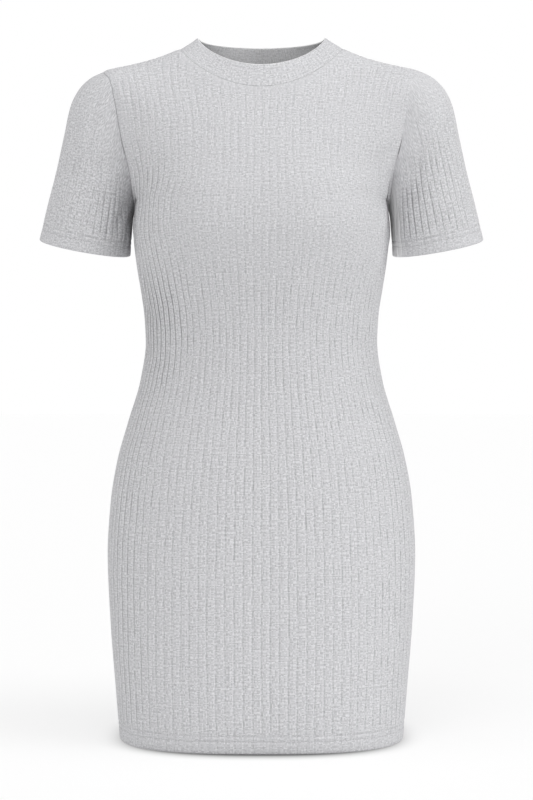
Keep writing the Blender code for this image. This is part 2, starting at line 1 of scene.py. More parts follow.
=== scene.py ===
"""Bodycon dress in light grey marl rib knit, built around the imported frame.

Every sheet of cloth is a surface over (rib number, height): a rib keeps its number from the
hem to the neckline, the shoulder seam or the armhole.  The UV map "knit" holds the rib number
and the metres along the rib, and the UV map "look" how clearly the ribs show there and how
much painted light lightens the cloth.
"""

import bpy
import numpy as np
from bpy.props import FloatProperty, FloatVectorProperty, PointerProperty
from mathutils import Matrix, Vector


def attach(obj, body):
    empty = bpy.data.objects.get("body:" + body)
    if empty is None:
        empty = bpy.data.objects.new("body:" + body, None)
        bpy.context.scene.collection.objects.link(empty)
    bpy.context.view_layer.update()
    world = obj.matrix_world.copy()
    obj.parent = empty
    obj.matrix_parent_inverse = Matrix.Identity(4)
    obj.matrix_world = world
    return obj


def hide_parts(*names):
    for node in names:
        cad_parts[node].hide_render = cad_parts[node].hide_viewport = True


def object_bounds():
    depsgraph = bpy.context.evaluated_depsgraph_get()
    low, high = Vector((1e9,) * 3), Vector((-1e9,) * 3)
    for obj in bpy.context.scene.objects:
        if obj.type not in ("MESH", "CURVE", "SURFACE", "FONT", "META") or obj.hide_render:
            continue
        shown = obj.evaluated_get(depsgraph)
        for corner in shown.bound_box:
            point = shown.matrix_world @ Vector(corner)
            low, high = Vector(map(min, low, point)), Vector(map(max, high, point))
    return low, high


bl_info = {
    "name": "Rib knit bodycon dress",
    "version": (1, 0, 0),
    "blender": (4, 5, 0),
    "location": "View3D > Sidebar > Dress",
    "description": "Builds a short-sleeved rib knit dress, its sewing and a plain studio",
    "category": "Object",
}

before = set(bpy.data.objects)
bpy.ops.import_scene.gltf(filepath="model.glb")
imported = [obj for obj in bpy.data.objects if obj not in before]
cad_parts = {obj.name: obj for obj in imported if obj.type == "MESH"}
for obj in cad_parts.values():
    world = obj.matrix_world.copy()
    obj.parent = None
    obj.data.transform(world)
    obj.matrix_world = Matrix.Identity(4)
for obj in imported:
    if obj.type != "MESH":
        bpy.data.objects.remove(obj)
CAD_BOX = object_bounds()

# ---- cut of the dress, the same as in the frame (metres) ------------------------------
RIBS_HALF = 24             # ribs from the centre line to a side seam
RIBS_SHOULDER = 19.5       # ribs from the centre line to the shoulder tip
RIBS_NECK = 10             # ribs from the centre line to the high shoulder point
RIBS_SLEEVE = 42           # ribs round a sleeve
RIBS_BAND = 60             # ribs round the neckband
HEM_Z = -0.771
ARMPIT_Z = -0.1746
ARMHOLE_MID_Z = -0.10      # from here down the armhole curves in to the armpit
EVEN_SPAN = 0.065          # height above it over which ribs turn to equal steps of width
NECK_X = 0.092             # high shoulder point
TIP_X = 0.1775             # shoulder tip
ROUND_X = 0.070            # where the rounding of the neck starts to turn to the shoulder's
SHOULDER_ROUND = 0.050     # height over which the depth closes below the shoulder line
NECK_ROUND = 0.100         # the same beside the neck
SHOULDER_POWER = 2.2       # power of that rounding
NECK_POWER = 0.8           # power of the neckline's dip
# (height, half width, front depth, back depth, front roundness, back roundness)
BODY = (
    (-0.771, 0.1588, 0.1120, 0.1060, 2.70, 2.60),
    (-0.711, 0.1639, 0.1130, 0.1110, 2.60, 2.50),
    (-0.644, 0.1695, 0.1115, 0.1160, 2.50, 2.40),
    (-0.565, 0.1729, 0.1085, 0.1200, 2.40, 2.30),
    (-0.508, 0.1695, 0.1055, 0.1190, 2.35, 2.30),
    (-0.463, 0.1622, 0.1020, 0.1110, 2.35, 2.25),
    (-0.418, 0.1497, 0.0970, 0.0970, 2.30, 2.20),
    (-0.372, 0.1362, 0.0930, 0.0840, 2.25, 2.20),
    (-0.330, 0.1305, 0.0925, 0.0765, 2.20, 2.20),
    (-0.300, 0.1320, 0.0970, 0.0780, 2.20, 2.20),
    (-0.270, 0.1364, 0.1050, 0.0830, 2.25, 2.20),
    (-0.237, 0.1413, 0.1155, 0.0890, 2.30, 2.25),
    (-0.205, 0.1444, 0.1220, 0.0935, 2.35, 2.30),
    (-0.1746, 0.1424, 0.1205, 0.0955, 2.35, 2.30),
    (-0.140, 0.1467, 0.1125, 0.0965, 2.20, 2.20),
    (-0.100, 0.1552, 0.0985, 0.0950, 2.05, 2.10),
    (-0.056, 0.1630, 0.0800, 0.0860, 2.00, 2.00),
    (-0.026, 0.1775, 0.0710, 0.0750, 2.00, 2.00),
    (0.015, 0.1775, 0.0640, 0.0660, 2.00, 2.00),
)
# (height, half width of the armhole seam seen from the front)
ARMHOLE = (
    (-0.1746, 0.1424),
    (-0.1690, 0.1441),
    (-0.1530, 0.1451),
    (-0.1360, 0.1475),
    (-0.1180, 0.1522),
    (-0.0932, 0.1562),
    (-0.0695, 0.1601),
    (-0.0424, 0.1664),
    (-0.0258, 0.1775),
    (0.0200, 0.1775),
)
ARMHOLE_DEPTH = {"front": 0.060, "back": 0.058}
ARMHOLE_LIMIT = 0.97       # largest share of the depth at which a body outline ends
NECK_DROP = {"front": 0.0557, "back": 0.0120}
# (half width, height of the shoulder line)
SHOULDER = (
    (0.0000, 0.0380),
    (0.0500, 0.0175),
    (0.0920, 0.0000),
    (0.1147, -0.0093),
    (0.1305, -0.0142),
    (0.1475, -0.0186),
    (0.1689, -0.0232),
    (0.1775, -0.0258),
    (0.2000, -0.0360),
)
# (share of the length, overarm x, overarm z, underarm x, underarm z, half depth)
SLEEVE = (
    (0.00, 0.1775, -0.0258, 0.1430, -0.1746, 0.0590),
    (0.07, 0.1905, -0.0318, 0.1440, -0.1790, 0.0600),
    (0.16, 0.2045, -0.0445, 0.1450, -0.1845, 0.0605),
    (0.27, 0.2146, -0.0640, 0.1457, -0.1905, 0.0605),
    (0.44, 0.2222, -0.0980, 0.1464, -0.2010, 0.0595),
    (0.63, 0.2310, -0.1370, 0.1471, -0.2130, 0.0575),
    (0.82, 0.2412, -0.1760, 0.1477, -0.2235, 0.0560),
    (1.00, 0.2502, -0.2137, 0.1482, -0.2327, 0.0550),
)
# soft ridges (panel, rib at the upper end, rib at the lower end, upper z, lower z,
#              half width in ribs, rise), the same on both sides
BODY_FOLDS = (
    ("front", 21.0, 14.0, -0.150, -0.262, 2.2, 0.0020),
    ("front", 22.5, 19.0, -0.178, -0.292, 1.5, 0.0010),
    ("back", 20.5, 16.0, -0.158, -0.250, 2.0, 0.0016),
)
# (rib, height, half width in ribs, half height, rise)
BUST = (9.5, -0.196, 8.5, 0.070, 0.0040)
# soft troughs (share round at the armhole, share at the cuff, start, end, half width, depth)
SLEEVE_FOLDS = (
    (0.462, 0.428, 0.03, 0.98, 0.020, 0.0022),
    (0.420, 0.362, 0.06, 0.82, 0.024, 0.0014),
    (0.240, 0.330, 0.02, 0.60, 0.030, 0.0010),
    (0.540, 0.580, 0.03, 0.92, 0.020, 0.0018),
    (0.585, 0.645, 0.06, 0.75, 0.024, 0.0012),
)
CUFF_DIP = 0.0095          # how far the cuff's front hangs down and its back is raised
CUFF_DIP_START = 0.3       # share of the length where that starts
SLEEVE_POWER = 2.1         # power of the sleeve's superellipses
SLEEVE_LENGTH = 0.165      # mean length from the armhole to the cuff, along the cloth
SLEEVE_GIRTH = 0.375
SLEEVE_LEAN = (0.08, 8.0)  # how far the ribs slide towards the overarm, and its power
# the neckband's upper edge: half width, depth, height at the sides, fall and its power
BAND_X = 0.0718
BAND_Y = {"front": 0.0680, "back": 0.0570}
BAND_SIDE_Z = 0.0146
BAND_FALL = {"front": 0.0440, "back": -0.0006}
BAND_CURVE = 0.66
BAND_HEIGHT = 0.026        # along the cloth, from the neckline to the folded edge

# ---- grids ----------------------------------------------------------------------------
# small steps that give a surface's directions: in ribs, in height, in shares of a sleeve's
# round and of its length, and in shares of the neckband's round
RIB_STEP, HEIGHT_STEP, ROUND_STEP, LENGTH_STEP, BAND_STEP = 0.04, 0.0004, 0.003, 0.02, 0.004
TIP_RIBS = 0.06            # ribs between the shoulder tip and the column beside it
# metres past the armpit to which the side seam counts upwards and the armhole downwards
SIDE_PAST, ARMHOLE_PAST = 0.004, 0.012
ARMHOLE_STEPS = 70
ARMHOLE_CROWD = 1.8        # power that draws the armhole's points together at the tip
RIB_COLUMNS = (0.0, 0.07, 0.15, 0.5, 0.85, 0.93)    # where a rib's columns stand
GROOVE = 0.15              # half width of the groove between two ribs, in ribs
# heights above a folded edge: around the two rows of stitches the rows stand closer
EDGE_ROWS = (0.0032, 0.0060, 0.0092, 0.0118, 0.0133, 0.0148, 0.0162, 0.0175, 0.0190, 0.0205,
             0.0232, 0.0275)
STITCH_ROWS = (0.0133, 0.0190)
TURN_UP = 0.0215           # the turned-up layer reaches just past the upper row
TURN_UP_ROWS = (TURN_UP, 0.0190, 0.0150, 0.0095, 0.0045)    # heights on the hidden layer
BAND_ROWS = (0.0003, 0.0014, 0.0028, 0.0045, 0.0080, 0.0120, 0.0160, 0.0200, 0.0232)
FOLD_STEPS = 6
BODY_ROWS = 98
BODY_LAST = (0.0095, 0.0060, 0.0030, 0.0005, 0.0)           # last rows below the upper grid
CHANNEL_REACH = 0.0021     # half width of the channel pressed in by a row of stitches
UPPER_ROWS = 24
UPPER_CROWD = 1.7          # power that draws the rows together towards the top
SLEEVE_ROWS = 52
SLEEVE_LAST = (0.0075, 0.0050, 0.0025, 0.0010)              # last rows below the armhole

# creases listed one by one: (rib, z) of both ends and of a point between them, half width and
# rise in metres, a minus for a trough; -X is the left of the front view
CREASES = {
    "front": (
        ((-19.2, -0.104), (-17.6, -0.120), (-15.2, -0.134), 0.012, -0.0020),
        ((-19.4, -0.126), (-18.4, -0.150), (-15.5, -0.176), 0.009, -0.0013),
        ((-22.0, -0.158), (-20.0, -0.196), (-15.0, -0.236), 0.011, -0.0014),
        ((-23.6, -0.190), (-21.0, -0.232), (-16.5, -0.290), 0.012, -0.0016),
        ((-23.6, -0.262), (-20.5, -0.296), (-14.0, -0.322), 0.014, -0.0013),
        ((-23.4, -0.330), (-19.0, -0.352), (-11.0, -0.362), 0.015, -0.0010),
        ((19.2, -0.112), (17.4, -0.132), (14.0, -0.148), 0.012, -0.0015),
        ((22.0, -0.160), (20.2, -0.196), (17.0, -0.226), 0.010, -0.0012),
        ((23.6, -0.206), (20.6, -0.244), (15.0, -0.276), 0.012, -0.0014),
        ((23.5, -0.300), (20.0, -0.330), (13.0, -0.346), 0.014, -0.0010),
        ((-7.0, -0.408), (0.5, -0.414), (8.0, -0.402), 0.016, -0.0008),
    ),
    "back": (
        ((-19.2, -0.108), (-17.0, -0.130), (-13.0, -0.146), 0.013, -0.0020),
        ((19.2, -0.104), (16.8, -0.128), (12.0, -0.142), 0.013, -0.0022),
        ((-23.5, -0.196), (-20.0, -0.240), (-13.0, -0.272), 0.013, -0.0016),
        ((23.5, -0.202), (20.0, -0.238), (14.0, -0.262), 0.012, -0.0015),
        ((-20.0, -0.316), (-6.0, -0.338), (9.0, -0.322), 0.017, -0.0017),
        ((-10.0, -0.352), (4.0, -0.368), (19.0, -0.348), 0.016, -0.0014),
        ((-23.0, -0.374), (-16.0, -0.392), (-5.0, -0.396), 0.014, -0.0011),
    ),
}
# the same on a sleeve, over (share round, share of the length)
SLEEVE_CREASES = {
    "right": (
        ((0.150, 0.02), (0.200, 0.24), (0.235, 0.52), 0.012, -0.0016),
        ((0.330, 0.02), (0.290, 0.30), (0.205, 0.56), 0.013, -0.0020),
        ((0.452, 0.02), (0.420, 0.34), (0.345, 0.74), 0.009, -0.0019),
        ((0.488, 0.06), (0.462, 0.46), (0.410, 0.96), 0.008, -0.0024),
        ((0.500, 0.30), (0.484, 0.62), (0.452, 1.00), 0.006, -0.0016),
        ((0.560, 0.05), (0.610, 0.44), (0.700, 0.80), 0.012, -0.0018),
        ((0.700, 0.02), (0.680, 0.30), (0.640, 0.66), 0.014, -0.0015),
    ),
    "left": (
        ((0.340, 0.02), (0.310, 0.26), (0.240, 0.48), 0.013, -0.0013),
        ((0.462, 0.03), (0.445, 0.50), (0.428, 0.98), 0.0080, 0.0022),
        ((0.420, 0.06), (0.391, 0.44), (0.362, 0.82), 0.0090, 0.0014),
        ((0.560, 0.04), (0.600, 0.40), (0.672, 0.78), 0.012, -0.0017),
        ((0.715, 0.02), (0.690, 0.28), (0.655, 0.60), 0.014, -0.0013),
    ),
}
CREASE_STEPS = 13
CREASE_RIB = 0.0075        # width of a rib as the creases measure it
CREASE_FADE = {"seam": 0.016, "hem": 0.030, "cuff": 0.012}  # they fade out this near to one
DRIFT_FADE = 0.012         # and the drift of the grooves this near to a seam

# ---- looks of the cloth (shares, unless said) -------------------------------------------
SEAM_SHARE = {"right": 1.40, "left": 0.12}          # how far a side's seams are pressed in
SEAM_SPAN = 0.0050         # metres over which a sewn edge is smooth and pressed in
BAND_SPAN = 0.0045
DOUBLE_SHARE = 0.35        # how much of the ribs shows on a turned-up edge
DOUBLE_FADE = 0.012        # metres above it over which all of it comes back
# how clearly a sleeve's ribs show: over most of it, and by the overarm
SLEEVE_LINES = {"left": (0.95, 0.75), "right": (0.70, 1.05)}
SLEEVE_START = {"left": 0.02, "right": 0.12}        # share of the length where they begin
SLEEVE_CLEAR = 0.40        # share of the length over which they get clear
SLEEVE_OUTER = 0.17        # share of the round over which the overarm's value fades out
# how much clearer they are on the inner front, and its middle and half width in the round
SLEEVE_INNER = (0.40, 0.35, 0.12)
SLEEVE_GAP = {"left": 0.0, "right": 0.0005}         # open line at its sewn edge, metres
# painted light: how much lighter the inner front of a sleeve is painted, against the shade
# between it and the body, and its middle and half width
SLEEVE_PAINTED_LIGHT = {"left": 1.35, "right": 0.0}
SLEEVE_PAINTED_LIGHT_AT = (0.465, 0.10)
# the same painted light on the front beside it, and its width in ribs, middle height and half
# height
ARMPIT_PAINTED_LIGHT = (0.60, 3.0, -0.200, 0.060)
BAND_LINES = (0.1, 0.5)    # how clearly the neckband's ribs show, and how much more inside
BAND_PAINTED_LIGHT = (0.75, 0.22)  # how much lighter its folded edge (a painted highlight) and its inside (painted light) are
BAND_FOLD = 0.8            # radius of its folded edge, against the hem's
BAND_RIB_DEPTH = 0.2       # depth of its ribs, against the body's
SEEDS = {"front": 5, "back": 6, "left": 11, "right": 12, "band": 21}
WALES = 6.0                # columns of knit stitches in one rib
COURSE = 0.00125           # height of one row of knit stitches, metres
KNIT_RIB = 0.0076          # width of a rib as the noises of the knit measure it, metres
# share of each part of the marl
MARL = {"speck": 0.50, "dash": 0.58, "streak": 0.32, "fleck": 0.5, "cloud": 0.15}
MARL_MIDDLE = 0.70
# node: (knit, contrast of its marl, slot, share of the cloth's thickness, flat size of what
#        shows, its flat area)
SHEETS = {
    "front": ("marl_rib_knit", 1.0, "rib_knit", 1.0, (0.372, 0.780), 0.245),
    "back": ("marl_rib_knit", 1.0, "rib_knit", 1.0, (0.372, 0.800), 0.248),
    "sleeve_left": ("marl_knit_left", 1.1, "rib_knit", 1.0, (0.345, 0.200), 0.047),
    "sleeve_right": ("marl_knit_right", 1.5, "rib_knit", 1.0, (0.345, 0.200), 0.047),
    "neckband": ("marl_band_knit", 1.3, "neckband_knit", 0.85, (0.480, 0.052), 0.0249),
}

# ---- sewing (metres) --------------------------------------------------------------------
TAPE_WIDTH, TAPE_THICKNESS, TAPE_SIDES = 0.0055, 0.0013, 14
CLEARANCE = 0.0004         # of a seam allowance behind the cloth, and of the floor
SIDE_END = 0.001           # how far below the armpit the side's seam allowance ends
SEAM_POINTS = {"neck": 121, "side": 160, "shoulder": 60}
STITCH_POINTS = {"hem": 900, "cuff": 700}           # points of the line a row follows
THREAD_SIDES = 6
STITCH_SHARE = 0.82        # share of its step that a stitch fills
STITCH_HEADING = 0.3       # share of a step, either way, that gives a stitch's heading
SIDE_RIBS = 0.05           # ribs between a row of stitches and the side seam
# a stitch along its length: (place, share of the radius, rise in thicknesses)
THREAD_RINGS = ((-0.5, 0.25, -0.45), (-0.34, 0.85, 0.1), (0.0, 1.0, 0.35), (0.34, 0.85, 0.1),
                (0.5, 0.25, -0.45))

# ---- camera and light -----------------------------------------------------------------
CAMERA_AT = (0.00565, -1.8, -0.395)                 # metres
CAMERA_LENS = 71.7         # millimetres, like the sensor's height
CAMERA_SENSOR = 36.0
FLOOR_REACH = 40.0         # metres from the middle of the floor to its edges
CONTACT_REACH = 0.034      # width of the painted shadow round the hem, metres
CONTACT_SHADE = 0.82       # how dark it is
LAMP_WIDTH = 0.7           # radians
# (lamp, degrees round from the front towards +X, degrees up, strength)
LAMPS = (("right_lamp", 70.0, 20.0, 1.40), ("left_lamp", -30.0, 20.0, 0.82),
         ("top_lamp", 0.0, 80.0, 1.28))


# ---- curves ---------------------------------------------------------------------------
def smooth(table, column, value):
    """Cubic curve through one column of a table, with slopes that never overshoot."""
    knots = np.array([row[0] for row in table])
    heights = np.array([row[column] for row in table])
    step = np.diff(knots)
    slope = np.diff(heights) / step
    tangent = np.zeros(len(knots))
    same = slope[:-1] * slope[1:] > 0
    mean = 2.0 * slope[:-1] * slope[1:] / np.where(same, slope[:-1] + slope[1:], 1.0)
    tangent[1:-1] = np.where(same, mean, 0.0)
    tangent[0], tangent[-1] = slope[0], slope[-1]
    value = np.clip(np.asarray(value, dtype=float), knots[0], knots[-1])
    cell = np.clip(np.searchsorted(knots, value, side="right") - 1, 0, len(step) - 1)
    t = (value - knots[cell]) / step[cell]
    return ((2 * t**3 - 3 * t**2 + 1) * heights[cell]
            + (t**3 - 2 * t**2 + t) * step[cell] * tangent[cell]
            + (3 * t**2 - 2 * t**3) * heights[cell + 1]
            + (t**3 - t**2) * step[cell] * tangent[cell + 1])


def ramp(value):
    """Smooth step from 0 to 1: three squares less two cubes."""
    t = np.clip(value, 0.0, 1.0)
    return t * t * (3.0 - 2.0 * t)


def crest(distance):
    """Soft bump: the squared cosine, 1 at the middle and 0 from a distance of 1."""
    return np.cos(0.5 * np.pi * np.clip(distance, -1.0, 1.0))**2


def unit(vectors):
    """Vectors of length one."""
    return vectors / np.maximum(np.linalg.norm(vectors, axis=-1, keepdims=True), 1e-12)


def even_steps(run, values, shares):
    """Values at shares of the length of each line of a stack, all lines at once.

    Each line's running length is scaled to 0..1 and lifted by 2 for each line before it, so
    that one linear interpolation serves the whole stack.
    """
    lift = 2.0 * np.arange(len(run))[:, None]
    known = (run / run[:, -1:] + lift).ravel()
    wanted = shares + lift
    return [np.interp(wanted.ravel(), known, v.ravel()).reshape(wanted.shape) for v in values]


def running_length(*coordinates):
    """Running length of each line of a stack, from its coordinates."""
    steps = np.sqrt(sum(np.diff(c, axis=1)**2 for c in coordinates))
    return np.concatenate([np.zeros((len(steps), 1)), np.cumsum(steps, axis=1)], axis=1)


def resample(line, shares):
    """Points at shares of the length of one line."""
    columns = line.T[:, None]
    return np.stack(even_steps(running_length(*columns), columns, shares[None])).T[:, 0]


def bilinear(table, row, col):
    """Reading of a table of values or of points between its rows and columns."""
    r = np.minimum(row.astype(int), table.shape[0] - 2)
    c = np.minimum(col.astype(int), table.shape[1] - 2)
    spread = (...,) + (None,) * (table.ndim - 2)
    fr, fc = (row - r)[spread], (col - c)[spread]
    return ((table[r, c] * (1 - fc) + table[r, c + 1] * fc) * (1 - fr)
            + (table[r + 1, c] * (1 - fc) + table[r + 1, c + 1] * fc) * fr)


def round_edge(halves, share):
    """Points on a closed edge: its first half to a share of 0.5, then its second half."""
    share = np.asarray(share) % 1.0
    points = np.empty(share.shape + (3,))
    for number, half in enumerate(halves):
        part = (share >= 0.5) == bool(number)
        points[part] = resample(half, share[part] * 2.0 - number)
    return points


def crease_rise(table, across, along, scale):
    """Sum of soft troughs and ridges over a surface.

    Each follows a quadratic curve through its ends, bent towards its middle point.  Its rise
    is a squared cosine of the distance to the curve over the half width, and a cosine fades
    it out towards its ends.
    """
    total = np.zeros(np.broadcast(across, along).shape)
    t = np.linspace(0.0, 1.0, CREASE_STEPS)
    for first, middle, last, width, rise in table:
        first, middle, last = (np.array(p) for p in (first, middle, last))
        curve = ((1 - t)**2)[:, None] * first + (2 * t * (1 - t))[:, None] * middle
        curve = (curve + (t**2)[:, None] * last) * scale
        best = np.full(total.shape, np.inf)
        place = np.zeros(total.shape)
        for step in range(CREASE_STEPS - 1):
            start, span = curve[step], curve[step + 1] - curve[step]
            da, dl = across * scale[0] - start[0], along * scale[1] - start[1]
            part = np.clip((da * span[0] + dl * span[1]) / (span @ span), 0.0, 1.0)
            gap = np.hypot(da - part * span[0], dl - part * span[1])
            nearer = gap < best
            best = np.where(nearer, gap, best)
            place = np.where(nearer, (step + part) / (CREASE_STEPS - 1), place)
        total += rise * crest(best / width) * crest(2.0 * place - 1.0)**0.5
    return total


# ---- ribs -----------------------------------------------------------------------------
def rib_numbers(low, high):
    """Rib numbers of a grid's columns between two whole or half ribs."""
    ribs = np.arange(np.floor(low), np.ceil(high))[:, None] + np.array(RIB_COLUMNS)
    ribs = ribs.ravel()
    return np.append(ribs[(ribs >= low) & (ribs < high)], high)


def rib_drift(k, along, seed):
    """Small sideways drift of each groove, in ribs: two sines along it with seeded phases."""
    rng = np.random.default_rng(seed)
    phase = rng.uniform(0.0, 2.0 * np.pi, (4, 256))
    rib = np.round(k).astype(int) % 256
    sway = (0.030 * np.sin(2 * np.pi * along / 0.130 + phase[0][rib])
            + 0.022 * np.sin(2 * np.pi * along / 0.047 + phase[1][rib])
            + 0.040 * np.sin(phase[2][rib]))
    return sway * (1.0 - 2.0 * np.abs(k - np.round(k)))


def rib_sink(k, along, depth, seed):
    """Depth of the outer face under the ribs' crests.

    A groove stands at each whole rib number, with flanks that ease out to the crest, and its
    depth varies a little along it.  The crest is domed very slightly.
    """
    rng = np.random.default_rng(seed + 1)
    phase = rng.uniform(0.0, 2.0 * np.pi, (2, 256))
    rib = np.round(k).astype(int) % 256
    uneven = (0.85 + 0.40 * np.sin(2 * np.pi * along / 0.071 + phase[0][rib])
              + 0.35 * np.sin(2 * np.pi * along / 0.027 + phase[1][rib]))
    off = np.abs(k - np.round(k))
    groove = (1.0 - ramp(off / GROOVE)) * np.clip(uneven, 0.15, 1.5)
    return depth * (groove + 0.10 * ramp((0.5 - off) / 0.35))


def edge_channel(height, depth):
    """Shallow channels pressed in by the two rows of stitches above a folded edge."""
    return depth * sum(crest((height - row) / CHANNEL_REACH) for row in STITCH_ROWS)


def cloth_sink(k, along, height, lines, relief, seed, sizes):
    """How deep the ribs and the stitches sink in; a turned-up layer shows its other face.

    Where no ribs show, their grooves still keep 0.3 of the full depth.
    """
    depth = sizes.rib_depth * (0.3 + 0.7 * lines[0])
    ribs = rib_sink(k, along, depth, seed) * lines[1]
    return (ribs + edge_channel(height, sizes.channel)) * relief


# ---- the body -------------------------------------------------------------------------
def ribs_inside(z):
    """Number of ribs from the centre line to the side seam or the armhole edge."""
    low = np.clip((ARMHOLE_MID_Z - z) / (ARMHOLE_MID_Z - ARMPIT_Z), 0.0, 1.0)
    return RIBS_SHOULDER + (RIBS_HALF - RIBS_SHOULDER) * (1.0 - np.sqrt(1.0 - low**2))


def top_of(k, side):
    """Height at which a rib ends: neckline, shoulder seam or armhole."""
    k = np.abs(k)
    neck = -NECK_DROP[side] * np.maximum(1.0 - (k / RIBS_NECK)**2, 0.0)**NECK_POWER
    share = (k - RIBS_NECK) / (RIBS_SHOULDER - RIBS_NECK)
    shoulder = smooth(SHOULDER, 1, NECK_X + (TIP_X - NECK_X) * share)
    share = np.clip((k - RIBS_SHOULDER) / (RIBS_HALF - RIBS_SHOULDER), 0.0, 1.0)
    low = np.sqrt(1.0 - (1.0 - share)**2)
    armhole = ARMHOLE_MID_Z + (ARMPIT_Z - ARMHOLE_MID_Z) * low
    return np.where(k < RIBS_NECK, neck, np.where(k <= RIBS_SHOULDER, shoulder, armhole))


class BodyForm:
    """Outer surface of the front or the back, as a function of rib number and height.

    At each level the half outline is a superellipse from the centre line to the side seam,
    or to the armhole edge above the armpit.  Ribs share its length equally.  Above the middle
    of the armhole they turn to equal steps of width, and the depth closes over the shoulder
    like a superellipse.
    """

    SHARES = np.linspace(0.0, 1.0, 321)

    def __init__(self, side):
        self.side = side
        self.sign = -1.0 if side == "front" else 1.0
        turn = np.linspace(0.0, np.pi / 2.0, 60)
        self.levels = np.unique(np.concatenate([
            np.linspace(HEM_Z - 0.01, ARMPIT_Z, 300),
            ARMHOLE_MID_Z - (ARMHOLE_MID_Z - ARMPIT_Z) * np.cos(turn),
            np.linspace(ARMHOLE_MID_Z, 0.02, 60)]))
        z = self.levels
        column = 2 if side == "front" else 3
        depth, power = smooth(BODY, column, z), smooth(BODY, column + 2, z)
        low = np.clip((ARMHOLE_MID_Z - z) / (ARMHOLE_MID_Z - ARMPIT_Z), 0.0, 1.0)
        open_side = z > ARMPIT_Z
        end_x = np.where(open_side, smooth(ARMHOLE, 1, z), smooth(BODY, 1, z))
        end_y = np.where(open_side, ARMHOLE_DEPTH[side] * np.sqrt(1.0 - low**2), 0.0)
        tight = np.minimum(end_y / depth, ARMHOLE_LIMIT)**power
        reach = end_x / (1.0 - tight)**(1.0 / power)
        end_angle = np.arcsin(np.minimum(1.0, (end_x / reach)**(power / 2.0)))
        angle = self.SHARES * end_angle[:, None]
        bend = (2.0 / power)[:, None]
        x = reach[:, None] * np.sin(angle)**bend
        y = depth[:, None] * np.abs(np.cos(angle))**bend
        run = running_length(x, y)
        self.length = run[:, -1]
        shares = np.broadcast_to(self.SHARES, run.shape)
        self.x_by_run, self.y_by_run = even_steps(run, [x, y], shares)
        self.y_by_x, = even_steps(x, [y], shares)

    def read(self, table, z, share):
        """Reading of a table at heights and shares."""
        row = np.interp(z, self.levels, np.arange(len(self.levels)))
        return bilinear(table, row, np.clip(share, 0.0, 1.0) * (len(self.SHARES) - 1))

    def pitch(self, z):
        """Width of one rib at a level."""
        return np.interp(z, self.levels, self.length) / ribs_inside(z)

    def swell(self, k, z):
        """Rise of the folds by the armholes, and of the bust, over the plain body."""
        rise = 0.0
        for panel, k_high, k_low, z_high, z_low, width, height in BODY_FOLDS:
            if panel == self.side:
                along = (z_high - z) / (z_high - z_low)
                middle = k_high + (k_low - k_high) * along
                rise += height * crest((np.abs(k) - middle) / width) * crest(2 * along - 1)
        if self.side == "front":
            k_mid, z_mid, width, tall, height = BUST
            rise += height * crest((np.abs(k) - k_mid) / width) * crest((z - z_mid) / tall)
        return rise

    def point(self, k, z):
        """Points of the smooth crest surface."""
        k, z = np.broadcast_arrays(np.asarray(k, dtype=float), np.asarray(z, dtype=float))
        a = np.abs(k)
        share = a / ribs_inside(z)
        x = self.read(self.x_by_run, z, share)
        y = self.read(self.y_by_run, z, share)
        even = ramp((z - ARMHOLE_MID_Z) / EVEN_SPAN)
        edge_x = smooth(ARMHOLE, 1, z)
        yoke = NECK_X + (edge_x - NECK_X) * (a - RIBS_NECK) / (RIBS_SHOULDER - RIBS_NECK)
        level_x = np.where(a <= RIBS_NECK, NECK_X * a / RIBS_NECK, yoke)
        x = x + (level_x - x) * even
        y = np.where(even > 0.0, self.read(self.y_by_x, z, x / edge_x), y)
        outward = ramp((x - ROUND_X) / (TIP_X - ROUND_X))
        height = NECK_ROUND + (SHOULDER_ROUND - NECK_ROUND) * outward
        rise = np.clip((smooth(SHOULDER, 1, x) - z) / height, 0.0, 1.0)
        y = y * (1.0 - (1.0 - rise)**SHOULDER_POWER)**(1.0 / SHOULDER_POWER)
        out = 1.0 + self.swell(k, z) / np.maximum(np.hypot(x, y), 0.02)
        return np.stack([np.sign(k) * x * out, self.sign * y * out, z], axis=-1)

    def normal(self, k, z):
        """Outward directions, from small steps across and up the surface."""
        k = np.asarray(k, dtype=float)
        across = (self.point(np.minimum(k + RIB_STEP, RIBS_HALF), z)
                  - self.point(np.maximum(k - RIB_STEP, -RIBS_HALF), z))
        upward = self.point(k, z) - self.point(k, np.asarray(z) - HEIGHT_STEP)
        return unit(np.cross(across, upward)) * -self.sign

    def seam_gap(self, points, k, z):
        """Distance to the nearest sewn edge, for the points near one."""
        gap = np.where(z < ARMPIT_Z + SIDE_PAST, (RIBS_HALF - np.abs(k)) * self.pitch(z),
                       np.inf)
        near = z > ARMPIT_Z - ARMHOLE_PAST
        k_top = np.linspace(0.0, RIBS_SHOULDER, 240)
        edge = np.concatenate([self.point(*self.armhole_ribs()),
                               self.point(k_top, top_of(k_top, self.side))])
        spots, edge = (np.hstack([np.abs(p[:, :2]), p[:, 2:]]) for p in (points[near], edge))
        best = np.full(len(spots), np.inf)
        for part in np.array_split(edge, 12):
            away = np.linalg.norm(spots[:, None] - part, axis=2)
            best = np.minimum(best, away.min(axis=1))
        gap[near] = np.minimum(gap[near], best)
        return gap

    def armhole_ribs(self):
        """Rib numbers and heights down the +X armhole edge, tip to armpit."""
        w = np.linspace(1.0, 0.0, ARMHOLE_STEPS)
        top = float(top_of(RIBS_SHOULDER, self.side))
        z_tip = top + (ARMHOLE_MID_Z - top) * (1.0 - w)**ARMHOLE_CROWD
        turn = np.linspace(0.0, np.pi / 2.0, ARMHOLE_STEPS)[1:]
        k_low = RIBS_SHOULDER + (RIBS_HALF - RIBS_SHOULDER) * (1.0 - np.cos(turn))
        k = np.concatenate([np.full(ARMHOLE_STEPS, RIBS_SHOULDER), k_low])
        return k, np.concatenate([z_tip, top_of(k_low, self.side)])


